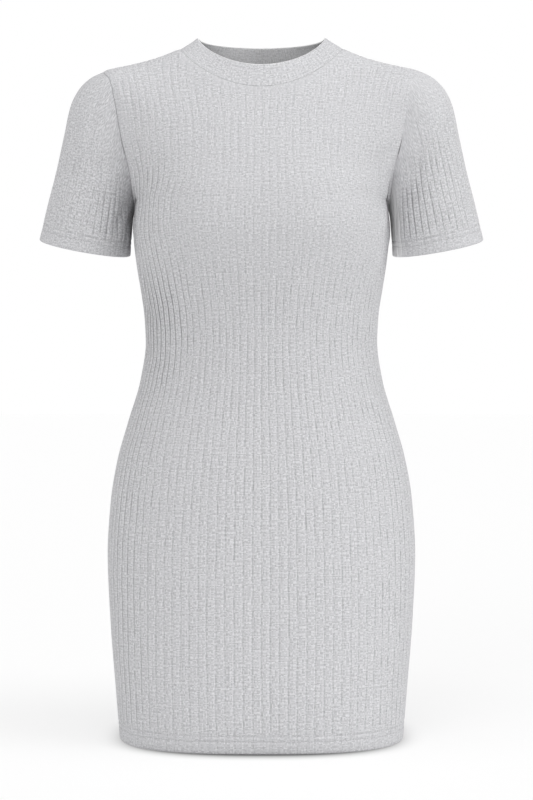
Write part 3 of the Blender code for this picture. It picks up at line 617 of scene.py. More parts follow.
def seam_share(k):
    """How far the sewn edges are pressed in, from one side of the dress to the other."""
    return np.interp(k, (-RIBS_NECK, RIBS_NECK), (SEAM_SHARE["right"], SEAM_SHARE["left"]))


def sunk_edge(form, k, z, depth):
    """Points of a sewn edge, pressed in, and their outward directions."""
    normal = form.normal(k, z)
    return form.point(k, z) - normal * np.asarray(depth)[..., None], normal


def rib_strength(k, z, gap):
    """How clearly the ribs show, from 0 to about 1.

    They are faint over the stretched chest, clearer below the bust and clearest towards the
    sides, most of all at the right-hand armpit and waist.  They fade out at the sewn edges,
    sooner at the neck and the shoulders.
    """
    below = ramp((-0.205 - z) / 0.09)
    sideways = ramp((np.abs(k) - 10.0) / 10.0) * np.where(k < 0.0, 1.0, 0.4)
    pulled = 0.7 * crest((z + 0.29) / 0.13) + 0.7 * crest((z + 0.175) / 0.08)
    strength = 0.38 + 0.34 * below + (0.25 + 0.35 * below) * sideways
    strength = strength + pulled * ramp((-k - 6.0) / 10.0)
    return strength * ramp(gap / np.interp(z, (-0.17, -0.11), (0.009, 0.022)))


def near_edge(height):
    """How much of the ribs still shows on a turned-up edge, where the cloth is double."""
    return DOUBLE_SHARE + (1.0 - DOUBLE_SHARE) * ramp((height - STITCH_ROWS[0]) / DOUBLE_FADE)


# ---- building meshes ------------------------------------------------------------------
def corners(grid):
    """The values at the four corners of each cell of a grid, or of a stack of grids."""
    return np.stack([grid[..., :-1, :-1], grid[..., :-1, 1:], grid[..., 1:, 1:],
                     grid[..., 1:, :-1]], axis=-1)


def wrapped(grid):
    """A grid that ends with its first column again."""
    return np.concatenate([grid, grid[..., :1]], axis=-1)


def quads_of(ids, layers):
    """Quads of an index grid, and the layers' values at each of their corners."""
    values = np.stack([corners(layer) for layer in layers], axis=-1)
    return corners(ids).reshape(-1, 4), values.reshape(-1, 4, len(layers))


def tube(points, ribs, layers):
    """A closed tube of cloth: its points, quads and the layers' values at their corners."""
    ids = np.arange(points[..., 0].size).reshape(points.shape[:2])
    rib = np.broadcast_to(ribs, (len(ids), len(ribs)))
    faces, pattern = quads_of(wrapped(ids), [rib, *map(wrapped, layers)])
    return points.reshape(-1, 3), faces, pattern


def mirrored(points, faces):
    """The same on the other side of the dress."""
    return points * np.array([-1.0, 1.0, 1.0]), faces[:, ::-1]


def lay(name, points, quads, pattern, material, slot, node=None):
    """One mesh piece, riding on the root body.

    Its UV map "knit" holds the rib number and the metres along it, and cloth has a second
    one, "look", with how clearly the ribs show and how much painted light lightens the cloth.
    """
    mesh = bpy.data.meshes.new(name)
    mesh.from_pydata(points.tolist(), [], quads.tolist())
    maps = {"knit": pattern[..., :2]}
    if pattern.shape[-1] > 2:
        maps["look"] = pattern[..., 2:]
    for label, values in maps.items():
        uv = mesh.uv_layers.new(name=label)
        uv.data.foreach_set("uv", values.reshape(-1).astype(np.float32))
    mesh.polygons.foreach_set("use_smooth", np.ones(len(quads), dtype=bool))
    sides = np.empty(len(mesh.loops), dtype=np.int32)
    mesh.loops.foreach_get("edge_index", sides)
    border = np.bincount(sides, minlength=len(mesh.edges)) == 1
    mesh.edges.foreach_set("use_edge_sharp", border)
    mesh.materials.append(material)
    mesh.update()
    piece = bpy.data.objects.new(name, mesh)
    bpy.context.scene.collection.objects.link(piece)
    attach(piece, "root")
    if node:
        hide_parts(node)
    return piece


def add_cloth(node, built, sizes, yarn):
    """A sheet of cloth in place of a solid, with its thickness on the inner side."""
    knit, contrast, slot, share, flat, area = SHEETS[node]
    knit = shared_material(knit, knit_material, yarn, contrast)
    piece = lay(node + "_cloth", *built, knit, slot, node)
    solid = piece.modifiers.new("cloth", "SOLIDIFY")
    solid.thickness = sizes.wall * share
    solid.offset = -1.0
    solid.use_rim = True


def cloth_rows(radius, full, count, last):
    """Rows from the hidden end of a turn-up, round the fold and up to a sewn edge.

    Gives the height above the fold, the shift inwards and the sign of the ribs' relief: the
    fold is a half circle, and past it the cloth shows its other face.  The last rows stand at
    given distances below the edge.
    """
    turn = np.linspace(np.pi, 0.0, FOLD_STEPS + 1)
    plain = np.linspace(EDGE_ROWS[-1], full - last[0], count)[1:]
    outer = np.concatenate([EDGE_ROWS, plain, full - np.array(last[1:])])
    hidden = np.ones(len(TURN_UP_ROWS))
    return (np.concatenate([TURN_UP_ROWS, radius * (1.0 - np.sin(turn)), outer]),
            np.concatenate([2.0 * radius * hidden, radius * (1.0 - np.cos(turn)),
                            0.0 * outer]),
            np.concatenate([-hidden, np.cos(turn), np.ones(len(outer))]))


def build_panel(form, sizes):
    """Front or back: one sheet from the turned-up hem to the neck, shoulders and armholes.

    Rows run level from side seam to side seam and bend down to meet the lower half of the
    armholes.  Above the middle of the armholes a second grid carries on to the neck and the
    shoulder seams, closer together towards them.
    """
    side = form.side
    k = np.union1d(rib_numbers(-RIBS_HALF, RIBS_HALF),
                   (TIP_RIBS - RIBS_SHOULDER, RIBS_SHOULDER - TIP_RIBS))
    full = ARMHOLE_MID_Z - HEM_Z
    height, shift, relief = cloth_rows(sizes.fold, full, BODY_ROWS, BODY_LAST)
    share = np.clip(height / full, 0.0, 1.0)
    drop = np.where(np.abs(k) > RIBS_SHOULDER, ARMHOLE_MID_Z - top_of(k, side), 0.0)
    z_low = HEM_Z + height[:, None] - drop * (share**3)[:, None]
    middle = np.abs(k) <= RIBS_SHOULDER
    w = np.linspace(1.0, 0.0, UPPER_ROWS + 1)[1:, None]
    top = top_of(k[middle], side)
    z_high = top - (top - ARMHOLE_MID_Z) * w**UPPER_CROWD
    ids_low = np.arange(z_low.size).reshape(z_low.shape)
    ids_high = z_low.size + np.arange(z_high.size).reshape(z_high.shape)
    ids_high = np.concatenate([ids_low[-1:, middle], ids_high])
    ks = np.concatenate([np.broadcast_to(k, z_low.shape).ravel(),
                         np.broadcast_to(k[middle], z_high.shape).ravel()])
    zs = np.concatenate([z_low.ravel(), z_high.ravel()])
    shifts = np.concatenate([np.repeat(shift, len(k)), np.zeros(z_high.size)])
    reliefs = np.concatenate([np.repeat(relief, len(k)), np.ones(z_high.size)])
    points, *layers = dress_surface(form, ks, zs, shifts, reliefs, sizes)
    grids = []
    for ids, ribs in ((ids_low, k), (ids_high, k[middle])):
        rib = np.broadcast_to(ribs, ids.shape)
        grids.append(quads_of(ids, (rib, *(layer[ids] for layer in layers))))
    faces, pattern = (np.concatenate(part) for part in zip(*grids))
    if side == "back":
        faces, pattern = faces[:, ::-1], pattern[:, ::-1]
    return points, faces, pattern


def dress_surface(form, k, z, shift, relief, sizes):
    """Points of the worn cloth, and its look at each of them.

    The points are the smooth surface with creases, ribs and pressed seams.  The look is the
    metres up, how clearly the ribs show and how much painted light lightens the cloth.
    """
    plain = form.point(k, z)
    normal = form.normal(k, z)
    gap = form.seam_gap(plain, k, z)
    free = 1.0 - crest(gap / SEAM_SPAN)
    seed = SEEDS[form.side]
    k_drift = k + rib_drift(k, z, seed) * ramp(gap / DRIFT_FADE)
    limit = np.where(z > ARMHOLE_MID_Z, RIBS_SHOULDER, RIBS_HALF)
    plain = form.point(np.clip(k_drift, -limit, limit), z)
    run = z - HEM_Z
    rise = crease_rise(CREASES[form.side], k, z, np.array([CREASE_RIB, 1.0])) * sizes.crease
    rise = rise * ramp(gap / CREASE_FADE["seam"]) * ramp(run / CREASE_FADE["hem"])
    lines = rib_strength(k, z, gap) * near_edge(run)
    sink = cloth_sink(k, z, run, (lines, free), relief, seed, sizes)
    sink = sink + shift + sizes.seam_sink * seam_share(k) * (1.0 - free)
    # painted light on the front beside the armpit, against the shade between it and the sleeve
    amount, ribs, middle, tall = ARMPIT_PAINTED_LIGHT
    light = amount * crest((RIBS_HALF - k) / ribs) * crest((z - middle) / tall)
    return (plain + normal * (rise - sink)[:, None], run - shift, lines,
            light * (form.side == "front"))


# ---- sleeves --------------------------------------------------------------------------
class SleeveForm:
    """Outer surface of the sleeve on the +X side, over (share round, share of the length).

    Each ring is a superellipse between the overarm and the underarm line, in equal steps of
    length.  Near the armhole it blends into the armhole edge with the cube of the distance.
    """

    SHARES = np.linspace(0.0, 1.0, 481)
    STEPS = np.linspace(0.0, 1.0, 201)

    def __init__(self, front, back, seam_sink):
        edges = [sunk_edge(form, *form.armhole_ribs(), seam_sink)[0] for form in (front, back)]
        edge = round_edge((edges[0], edges[1][::-1]), self.SHARES)
        shift = edge - self.ring(self.SHARES, [0.0])[0]
        self.table = (self.ring(self.SHARES, self.STEPS)
                      + shift * ((1.0 - self.STEPS)**3)[:, None, None])
        steps = np.linalg.norm(np.diff(self.table, axis=0), axis=-1)
        self.length = steps.sum(axis=0)

    def ring(self, share, t):
        """Plain rings for a column of length shares and a row of round shares."""
        t = np.asarray(t)[:, None]
        over_x, over_z, under_x, under_z, depth = (smooth(SLEEVE, c, t) for c in range(1, 6))
        angle = np.linspace(0.0, 2.0 * np.pi, 721)
        reach = np.sign(np.cos(angle)) * np.abs(np.cos(angle))**(2.0 / SLEEVE_POWER)
        side = -np.sign(np.sin(angle)) * np.abs(np.sin(angle))**(2.0 / SLEEVE_POWER)
        dip = CUFF_DIP * ramp((t - CUFF_DIP_START) / (1.0 - CUFF_DIP_START))
        x = 0.5 * (over_x + under_x) + 0.5 * (over_x - under_x) * reach
        y = depth * side
        z = 0.5 * (over_z + under_z) + 0.5 * (over_z - under_z) * reach + dip * side
        wanted = np.broadcast_to(share, (len(t), len(share)))
        ring = np.stack(even_steps(running_length(x, y, z), [x, y, z], wanted), axis=-1)
        middle = np.stack([0.5 * (over_x + under_x), 0.0 * t, 0.5 * (over_z + under_z)],
                          axis=-1)
        sink = 0.0
        for s_high, s_low, start, end, width, depth_of in SLEEVE_FOLDS:
            along = (t - start) / (end - start)
            line = s_high + (s_low - s_high) * along
            sink = sink + depth_of * crest((wanted - line) / width) * crest(2 * along - 1)
        return ring + unit(middle - ring) * sink[..., None]

    def point(self, share, t):
        """Points of the smooth crest surface."""
        share, t = np.broadcast_arrays(np.asarray(share) % 1.0, np.clip(t, 0.0, 1.0))
        return bilinear(self.table, t * (len(self.STEPS) - 1), share * (len(self.SHARES) - 1))

    def across(self, share, t):
        """Small steps round the sleeve."""
        return self.point(share + ROUND_STEP, t) - self.point(share - ROUND_STEP, t)

    def normal(self, share, t):
        """Outward directions, from small steps round and along the sleeve."""
        along = (self.point(share, np.minimum(t + LENGTH_STEP, 1.0))
                 - self.point(share, np.maximum(t - LENGTH_STEP, 0.0)))
        return unit(np.cross(self.across(share, t), along))

    def lay_ribs(self, ribs, height):
        """Share round, share of the length and metres above the cuff, on a grid of ribs.

        Heights up to the last edge row count along the cloth.  From there on the rest of each
        rib is shared out evenly.  Towards the armhole the ribs slide up to the overarm, so
        that they run straight: share = s - lean sin(2 pi s) (1 - t)^power.
        """
        s = ribs / RIBS_SLEEVE
        length = np.interp(s % 1.0, self.SHARES, self.length)
        above = np.maximum(height - EDGE_ROWS[-1], 0.0) / (SLEEVE_LENGTH - EDGE_ROWS[-1])
        metres = (np.minimum(height, EDGE_ROWS[-1])[:, None]
                  + above[:, None] * (length - EDGE_ROWS[-1]))
        t = 1.0 - metres / length
        lean, power = SLEEVE_LEAN
        return s - lean * np.sin(2.0 * np.pi * s) * (1.0 - t)**power, t, metres


def sleeve_surface(form, ribs, height, shift, relief, hand, sizes):
    """Points of one sleeve's cloth, and its look at each of them.

    The points are the smooth surface with creases, ribs and the pressed cuff.  The look is
    the metres above the cuff, how clearly the ribs show and how much painted light lightens
    the cloth.
    """
    share, t, metres = form.lay_ribs(ribs, height)
    free = 1.0 - crest(t * SLEEVE_LENGTH / SEAM_SPAN)
    shift, relief, seed = shift[:, None], relief[:, None], SEEDS[hand]
    k = np.broadcast_to(ribs, t.shape)
    clear, outer = SLEEVE_LINES[hand]
    inner, middle, width = SLEEVE_INNER
    lines = (clear + (outer - clear) * crest(share / SLEEVE_OUTER)
             + inner * crest((share - middle) / width))
    lines = lines * ramp((t - SLEEVE_START[hand]) / SLEEVE_CLEAR) * near_edge(metres)
    step = rib_drift(k, metres, seed) * SLEEVE_GIRTH / RIBS_SLEEVE * free
    rise = crease_rise(SLEEVE_CREASES[hand], share, t,
                       np.array([SLEEVE_GIRTH, SLEEVE_LENGTH])) * sizes.crease
    rise = rise * ramp(metres / CREASE_FADE["cuff"])
    sink = cloth_sink(k, metres, metres, (lines, free), relief, seed, sizes) + shift
    points = (form.point(share, t) + unit(form.across(share, t)) * step[..., None]
              + form.normal(share, t) * (rise - sink)[..., None])
    # painted light on the inner front of the sleeve, standing in for light where the body
    # shades it
    middle, width = SLEEVE_PAINTED_LIGHT_AT
    light = SLEEVE_PAINTED_LIGHT[hand] * crest((share - middle) / width)
    return points, metres - shift, lines, light


def build_sleeve(hand, forms, sizes):
    """One sleeve: a tube of cloth from the armhole to the turned-up cuff."""
    ribs = rib_numbers(0, RIBS_SLEEVE)[:-1]
    last = (*SLEEVE_LAST, SLEEVE_GAP[hand])
    rows = cloth_rows(sizes.fold, SLEEVE_LENGTH, SLEEVE_ROWS, last)
    form = SleeveForm(*forms, sizes.seam_sink * SEAM_SHARE[hand])
    points, *layers = sleeve_surface(form, ribs, *rows, hand, sizes)
    points, faces, pattern = tube(points, np.append(ribs, RIBS_SLEEVE), layers)
    if hand == "right":
        return mirrored(points, faces[:, ::-1]) + (pattern,)
    return points, faces[:, ::-1], pattern[:, ::-1]


# ---- neckband -------------------------------------------------------------------------
class BandForm:
    """Outer surface of the neckband, over (share round, share of its height).

    It is a straight strip from the neckline to an upper edge whose plan is an ellipse and
    whose height falls towards the centre front.
    """

    def __init__(self, front, back, seam_sink):
        k = np.linspace(-RIBS_NECK, RIBS_NECK, 301)
        depth = seam_sink * seam_share(k)
        edges = [sunk_edge(form, k, top_of(k, form.side), depth)[0] for form in (front, back)]
        self.halves = edges[0], edges[1][::-1]

    def upper(self, base):
        """Upper edge above each point of the neckline."""
        x = np.clip(base[:, 0] * BAND_X / NECK_X, -BAND_X, BAND_X)
        fall = np.clip(1.0 - (x / BAND_X)**2, 0.0, 1.0)
        front = base[:, 1] < 0.0
        reach = np.where(front, -BAND_Y["front"], BAND_Y["back"])
        drop = np.where(front, BAND_FALL["front"], BAND_FALL["back"])
        return np.stack([x, reach * fall**0.5, BAND_SIDE_Z - drop * fall**BAND_CURVE], axis=1)

    def point(self, share, t):
        """Points on the grid of t by share."""
        base = round_edge(self.halves, share)
        return base + (self.upper(base) - base) * np.asarray(t)[:, None, None]

    def normal(self, share, t):
        """Outward directions."""
        across = self.point(share + BAND_STEP, t) - self.point(share - BAND_STEP, t)
        base = round_edge(self.halves, share)
        normal = unit(np.cross(across, self.upper(base) - base))
        out = self.point(share, t) * np.array([1.0, 1.0, 0.0])
        return normal * np.sign((out * normal).sum(axis=-1))[..., None]


def build_band(forms, sizes):
    """Neckband: a strip folded double over its upper edge, sewn in along both raw edges."""
    ribs = rib_numbers(0, RIBS_BAND)[:-1]
    form = BandForm(*forms, sizes.seam_sink)
    rise = np.array(BAND_ROWS)
    plain = np.ones(len(rise))
    radius = sizes.fold * BAND_FOLD
    turn = np.linspace(0.0, np.pi, FOLD_STEPS + 1)
    height = np.concatenate([rise, BAND_HEIGHT - radius * (1.0 - np.sin(turn)), rise[::-1]])
    shift = np.concatenate([0.0 * plain, radius * (1.0 - np.cos(turn)), 2.0 * radius * plain])
    relief = np.concatenate([plain, np.cos(turn), -plain])
    t = height / BAND_HEIGHT
    share = ribs / RIBS_BAND
    free = 1.0 - crest(height / BAND_SPAN)
    k, h = np.broadcast_arrays(ribs, height[:, None])
    sink = rib_sink(k, h, sizes.rib_depth * BAND_RIB_DEPTH, SEEDS["band"])
    sink = sink * (relief * free)[:, None]
    points = form.point(share, t) - form.normal(share, t) * (sink + shift[:, None])[..., None]
    run = np.where(np.arange(len(t)) < len(t) / 2, height, 2 * BAND_HEIGHT - height)
    hidden = relief < 0.0
    folded = np.abs(relief) < 0.9       # the rows round the fold
    # painted highlight on the folded edge and painted light on the shaded inside of the band
    looks = (run, BAND_LINES[0] + BAND_LINES[1] * hidden,
             BAND_PAINTED_LIGHT[0] * folded + BAND_PAINTED_LIGHT[1] * hidden)
    layers = [np.broadcast_to(look[:, None], k.shape) for look in looks]
    return tube(points, np.append(ribs, RIBS_BAND), layers)


# ---- sewing ---------------------------------------------------------------------------
def stitches(centres, headings, normals, length, thickness):
    """Short raised threads: each is a six-sided spindle along its heading.

    A stitch's surface is centre + heading * s + (side, normal) * circle * r(s), where the
    radius r eases in from the ends and the middle stands a little proud of the cloth.
    """
    place, share, rise = np.array(THREAD_RINGS).T[..., None, None]
    turn = np.arange(THREAD_SIDES) * 2.0 * np.pi / THREAD_SIDES
    side = unit(np.cross(normals, headings))
    circle = np.cos(turn)[:, None, None] * side + np.sin(turn)[:, None, None] * normals
    spine = centres + headings * place * length + normals * rise * thickness
    points = spine[:, None] + circle * share[..., None] * 0.5 * thickness
    ids = np.arange(points.size // 3).reshape(len(centres), len(place), THREAD_SIDES)
    ends = [ids[:, 0, [3, 2, 1, 0]], ids[:, 0, [0, 5, 4, 3]],
            ids[:, -1, [0, 1, 2, 3]], ids[:, -1, [3, 4, 5, 0]]]
    faces = np.concatenate([corners(wrapped(ids)).reshape(-1, 4), *ends])
    return points.transpose(2, 0, 1, 3).reshape(-1, 3), faces


def row_of_stitches(line, normals, sizes):
    """Stitches in equal steps along a row of surface points."""
    run = running_length(*line.T[:, None])[0]
    count = int(run[-1] / sizes.stitch)
    shares = (np.arange(count) + 0.5) / count
    ahead = resample(line, np.minimum(shares + STITCH_HEADING / count, 1.0))
    behind = resample(line, np.maximum(shares - STITCH_HEADING / count, 0.0))
    up = np.stack([np.interp(shares * run[-1], run, normals[:, c]) for c in range(3)], axis=1)
    return stitches(resample(line, shares), unit(ahead - behind), unit(up),
                    sizes.stitch * STITCH_SHARE, sizes.thread)


def lay_sewing(name, parts, material):
    """Join (points, faces) parts into one piece, mapped by its metres across and up."""
    starts = np.cumsum([0, *(len(points) for points, _ in parts)])
    points = np.concatenate([points for points, _ in parts])
    faces = np.concatenate([faces + start for (_, faces), start in zip(parts, starts)])
    lay(name, points, faces, points[faces][..., [0, 2]], material, "rib_knit")


def tape(seam, inward, depth, closed):
    """A flat seam allowance: an ellipse carried along a seam, just inside the cloth.

    Point = seam + inward * depth + side * (width / 2) cos a + inward * (thickness / 2) sin a,
    where side is square to the seam and to the inward direction.
    """
    line = seam + inward * depth
    ahead, behind = np.roll(line, -1, axis=0), np.roll(line, 1, axis=0)
    if not closed:
        ahead[-1], behind[0] = line[-1], line[0]
    side = unit(np.cross(unit(ahead - behind), inward))
    turn = np.linspace(0.0, 2.0 * np.pi, TAPE_SIDES + 1)[:-1]
    points = (line[:, None] + side[:, None] * (0.5 * TAPE_WIDTH * np.cos(turn))[:, None]
              + inward[:, None] * (0.5 * TAPE_THICKNESS * np.sin(turn))[:, None])
    ids = np.arange(points.size // 3).reshape(len(line), TAPE_SIDES)
    rows = np.concatenate([ids, ids[:1]]) if closed else ids
    faces = corners(wrapped(rows))[..., [0, 3, 2, 1]].reshape(-1, 4)
    if not closed:
        fan = np.array([[i, i + 1, TAPE_SIDES - 2 - i, TAPE_SIDES - 1 - i]
                        for i in range(TAPE_SIDES // 2 - 1)])
        faces = np.concatenate([faces, fan, (ids[-1, fan])[:, ::-1]])
    return points.reshape(-1, 3), faces


# ---- materials ------------------------------------------------------------------------
def maths(operation, swapped=False, clamp=False):
    """A method that adds a Math node after a wire, and gives that node's wire."""
    def method(wire, *others):
        values = (*others, wire) if swapped else (wire, *others)
        return wire.shop.node("ShaderNodeMath", {"operation": operation, "use_clamp": clamp},
                              dict(enumerate(values)))[0]
    return method


class Wire:
    """A shader socket that takes part in Python expressions through Math nodes."""

    def __init__(self, shop, socket):
        self.shop = shop
        self.socket = socket

    __add__ = __radd__ = maths("ADD")
    __sub__ = maths("SUBTRACT")
    __rsub__ = maths("SUBTRACT", swapped=True)
    __mul__ = __rmul__ = maths("MULTIPLY")
    __truediv__ = maths("DIVIDE")
    fract, floor, abs, power = map(maths, ("FRACT", "FLOOR", "ABSOLUTE", "POWER"))
    clamped_sum = maths("ADD", clamp=True)

    def clamp(self):
        return self.clamped_sum(0.0)


class Shop:
    """The node tree of a material or a world, with one method that adds any node."""

    def __init__(self, owner, output="ShaderNodeOutputMaterial"):
        self.owner = owner
        self.owner.use_nodes = True
        self.tree = self.owner.node_tree
        self.tree.nodes.clear()
        self.output = self.tree.nodes.new(output)

    def node(self, kind, settings=None, inputs=None):
        """Add a node: its settings first, then its sockets' values or links."""
        made = self.tree.nodes.new(kind)
        for key, value in (settings or {}).items():
            setattr(made, key, value)
        for key, value in (inputs or {}).items():
            socket = made.inputs[key]
            if isinstance(value, Wire):
                self.tree.links.new(value.socket, socket)
            else:
                socket.default_value = value
        return [Wire(self, s) for s in made.outputs]

    def show(self, shader):
        """Link a shader to the output, and give the owner."""
        self.tree.links.new(shader.socket, self.output.inputs["Surface"])
        return self.owner

    def mix(self, factor, first, second):
        """Colour mix."""
        return self.node("ShaderNodeMix", {"data_type": "RGBA"},
                         {0: factor, 6: first, 7: second})[2]

    def vector(self, x, y, z=0.0):
        """A vector from three wires or numbers."""
        return self.node("ShaderNodeCombineXYZ", None, {0: x, 1: y, 2: z})[0]

    def noise(self, where, scale, detail=2.0, roughness=0.5):
        """Soft noise from about 0 to 1."""
        return self.node("ShaderNodeTexNoise", {"noise_dimensions": "3D"},
                         {"Vector": where, "Scale": scale, "Detail": detail,
                          "Roughness": roughness})[0]

    def shade_of(self, column, row, layer):
        """A random shade from 0 to 1 for each cell of a grid."""
        return self.node("ShaderNodeTexWhiteNoise", {"noise_dimensions": "3D"},
                         {"Vector": self.vector(column, row, layer)})[0]

    def finish(self, colour, roughness, bump, distance, strength, sheen):
        """Principled cloth from a colour, a roughness and a height."""
        normal = self.node("ShaderNodeBump", None,
                           {"Height": bump, "Distance": distance, "Strength": strength})[0]
        shader = self.node("ShaderNodeBsdfPrincipled", None,
                           {"Base Color": colour, "Roughness": roughness, "Normal": normal,
                            "Sheen Weight": sheen, "Sheen Roughness": 0.55,
                            "Specular IOR Level": 0.25})[0]
        return self.show(shader)


BLACK, WHITE = (0.0, 0.0, 0.0, 1.0), (1.0, 1.0, 1.0, 1.0)


def rgba(colour):
    """A colour property as a node colour."""
    return (*colour, 1.0)


def knit_material(name, yarn, contrast):
    """Marl rib knit over (rib number, metres along it) and the look of the cloth there.

    Wales and courses of small V stitches.  The marl is a sum of random shades: single
    stitches, short dashes along a course and short streaks up a wale.  Each lies beside its
    opposite, |shade - 1|, so that the marl stays fine and even from afar.  Painted shade
    darkens the grooves here and there, and the crests' middles still more where ribs show
    strongly; a painted highlight lightens one flank of each groove.  Painted light from the
    look map lightens the cloth where it is given.
    """
    shop = Shop(bpy.data.materials.new(name))
    (rib, run), (lines, painted_light) = (
        shop.node("ShaderNodeSeparateXYZ", None,
                  {0: shop.node("ShaderNodeUVMap", {"uv_map": label})[0]})[:2]
        for label in ("knit", "look"))
    wale = rib * WALES
    across = wale.fract() - 0.5
    lean = across.abs()
    course = run / COURSE + lean * 0.9
    column, row = wale.floor(), course.floor()
    column_pair, row_pair = (column * 0.5).floor(), (row * 0.5).floor()
    second_column, second_row = column - column_pair * 2.0, row - row_pair * 2.0
    speck = (shop.shade_of(column_pair, row, 0.0) - second_column).abs()
    dash = shop.shade_of(((wale + row_pair * 1.37) / 2.6).floor(), row_pair, 7.0)
    dash = (dash - second_row).abs()
    streak = shop.shade_of(column_pair, ((course + column_pair * 2.71) / 4.0).floor(), 13.0)
    streak = (streak - second_column).abs()
    metres = shop.vector(rib * KNIT_RIB, run)
    fleck = shop.noise(metres, 900.0, 2.0, 0.6)
    cloud = shop.noise(metres, 62.0, 3.0, 0.6)
    marl = (speck * MARL["speck"] + dash * MARL["dash"] + streak * MARL["streak"]
            + (fleck - 0.5) * MARL["fleck"] + (cloud - 0.5) * MARL["cloud"] - MARL_MIDDLE)
    marl = (marl * (lines * 0.45 + 0.78) * contrast + 0.5).clamp()
    off = (rib.fract() - 0.5).abs()
    # noise patches where the rib lines show; they carry the painted groove shade, the painted
    # flank highlight, the painted shade at the crests' middles and the bump
    line_patches = (shop.noise(metres, 110.0, 2.0, 0.5) * 6.0 - 3.9 + lines * 1.9).clamp() * lines
    groove = ((off + lines * 0.06 - 0.46) * 16.0).clamp() * line_patches
    # painted highlight on one flank of each groove
    flank = ((rib.fract() - 0.74) * 8.0).clamp() * line_patches * 0.14
    half = (1.0 - off * (25.0 - lines * 6.0)).clamp() * line_patches
    colour = shop.mix(marl, rgba(yarn.dark), rgba(yarn.light))
    # painted shade: grooves and crests' middles mixed towards a darker yarn
    shade = groove * 0.50 + half * ((lines - 0.9).clamp() * 0.30 + 0.08)
    # painted light from the look map and the flank's painted highlight lighten the colour
    colour = shop.mix((painted_light + flank).clamp(), colour, rgba((0.9, 0.9, 0.9)))
    colour = shop.mix(shade, colour, rgba([c * 0.55 for c in yarn.dark]))
    loop = course.fract()
    leg = 1.0 - (loop * 2.0 - 1.0) * (loop * 2.0 - 1.0)
    edge = 1.0 - lean * lean * 4.0
    slope = ((off - 0.36) * 7.2).clamp()
    height = leg * edge * 0.7 + marl * 0.5 - half * 0.4 - slope * slope * line_patches * 1.3
    return shop.finish(colour, speck * 0.08 + 0.84, height, 0.00035, 0.55, 0.12)


def thread_material(name, yarn):
    """Sewing thread: fine twist and a faint uneven mix of two greys, both darker than the yarn
    as painted shade on the rows of stitches.
    """
    shop = Shop(bpy.data.materials.new(name))
    place = shop.node("ShaderNodeTexCoord")[3]
    grain = shop.noise(place, 2600.0, 2.0, 0.6)
    tone = shop.noise(place, 160.0, 2.0, 0.5)
    colour = shop.mix((tone * 0.7 + grain * 0.3).clamp(), rgba(yarn.thread_dark),
                      rgba(yarn.thread))
    return shop.finish(colour, grain * 0.1 + 0.62, grain, 0.0001, 0.4, 0.1)


def overlock_material(name, yarn):
    """Overlocked seam allowance: close loops of thread over the cut cloth."""
    shop = Shop(bpy.data.materials.new(name))
    place = shop.node("ShaderNodeTexCoord")[3]
    grain = shop.noise(place, 900.0, 2.0, 0.6)
    loops = shop.node("ShaderNodeTexVoronoi", None, {"Vector": place, "Scale": 620.0})[0]
    colour = shop.mix((grain * 0.5 + loops * 0.6).clamp(), rgba(yarn.dark), rgba(yarn.thread))
    return shop.finish(colour, grain * 0.1 + 0.8, loops, 0.0003, 0.6, 0.1)


def floor_material(name, colour, glow):
    """Plain matt floor that gives off a little light.

    A painted contact shadow darkens it in a narrow soft band round the hem, less so at its
    ends.
    The hem's outline is the superellipse |x / width|^n + |y / depth|^n = 1.  With s as that
    sum to the power 1 / n, a point at a distance r from the origin lies r (1 - 1 / s) outside
    the hem.
    """
    shop = Shop(bpy.data.materials.new(name))
    place = shop.node("ShaderNodeTexCoord")[3]
    axes = shop.node("ShaderNodeSeparateXYZ", None, {0: place})
    width, depth, power = BODY[0][1], BODY[0][2], BODY[0][4]
    away = ((axes[0].abs() * (1.0 / width)).power(power)
            + (axes[1].abs() * (1.0 / depth)).power(power)).power(1.0 / power)
    radius = (axes[0] * axes[0] + axes[1] * axes[1]).power(0.5)
    gap = radius * (1.0 - away.power(-1.0))
    ends = axes[0] * axes[0] * (1.0 / width**2)
    # painted contact shadow round the hem, in both the colour and the light given off
    near = (1.0 - gap * (1.0 / CONTACT_REACH)).clamp().power(2.5) * CONTACT_SHADE
    near = near * (1.0 - ends * 0.7).clamp()
    shader = shop.node("ShaderNodeBsdfPrincipled", None,
                       {"Base Color": shop.mix(near, rgba(colour), BLACK),
                        "Roughness": 0.9, "Specular IOR Level": 0.1,
                        "Emission Color": shop.mix(near, WHITE, BLACK),
                        "Emission Strength": glow})[0]
    return shop.show(shader)


# ---- settings -------------------------------------------------------------------------
def length_property(label, text, value):
    """A length in metres that shows in the scene's units."""
    return FloatProperty(name=label, description=text, default=value, min=0.0, max=0.02,
                         precision=5, unit="LENGTH", subtype="DISTANCE")


class DressSizes(bpy.types.PropertyGroup):
    wall: length_property("Cloth", "Thickness of one layer of the knit", 0.0012)
    fold: length_property("Fold radius", "Radius of the folded hem and cuff edges", 0.0014)
    rib_depth: length_property("Rib depth", "Depth of the grooves between the ribs", 0.0008)
    seam_sink: length_property("Seam sink", "How far a sewn edge is pressed in", 0.0007)
    channel: length_property("Stitch channel", "How deep the rows of stitches press", 0.0006)
    thread: length_property("Thread", "Thickness of the sewing thread", 0.00042)
    stitch: length_property("Stitch", "Length of one stitch", 0.0029)
    crease: FloatProperty(name="Creases", description="Strength of the worn-in creases",
                          default=1.0, min=0.0, max=2.0, subtype="FACTOR")


def colour_property(label, text, value):
    """A plain colour."""
    return FloatVectorProperty(name=label, description=text, default=value, min=0.0, max=1.0,
                               subtype="COLOR", size=3)


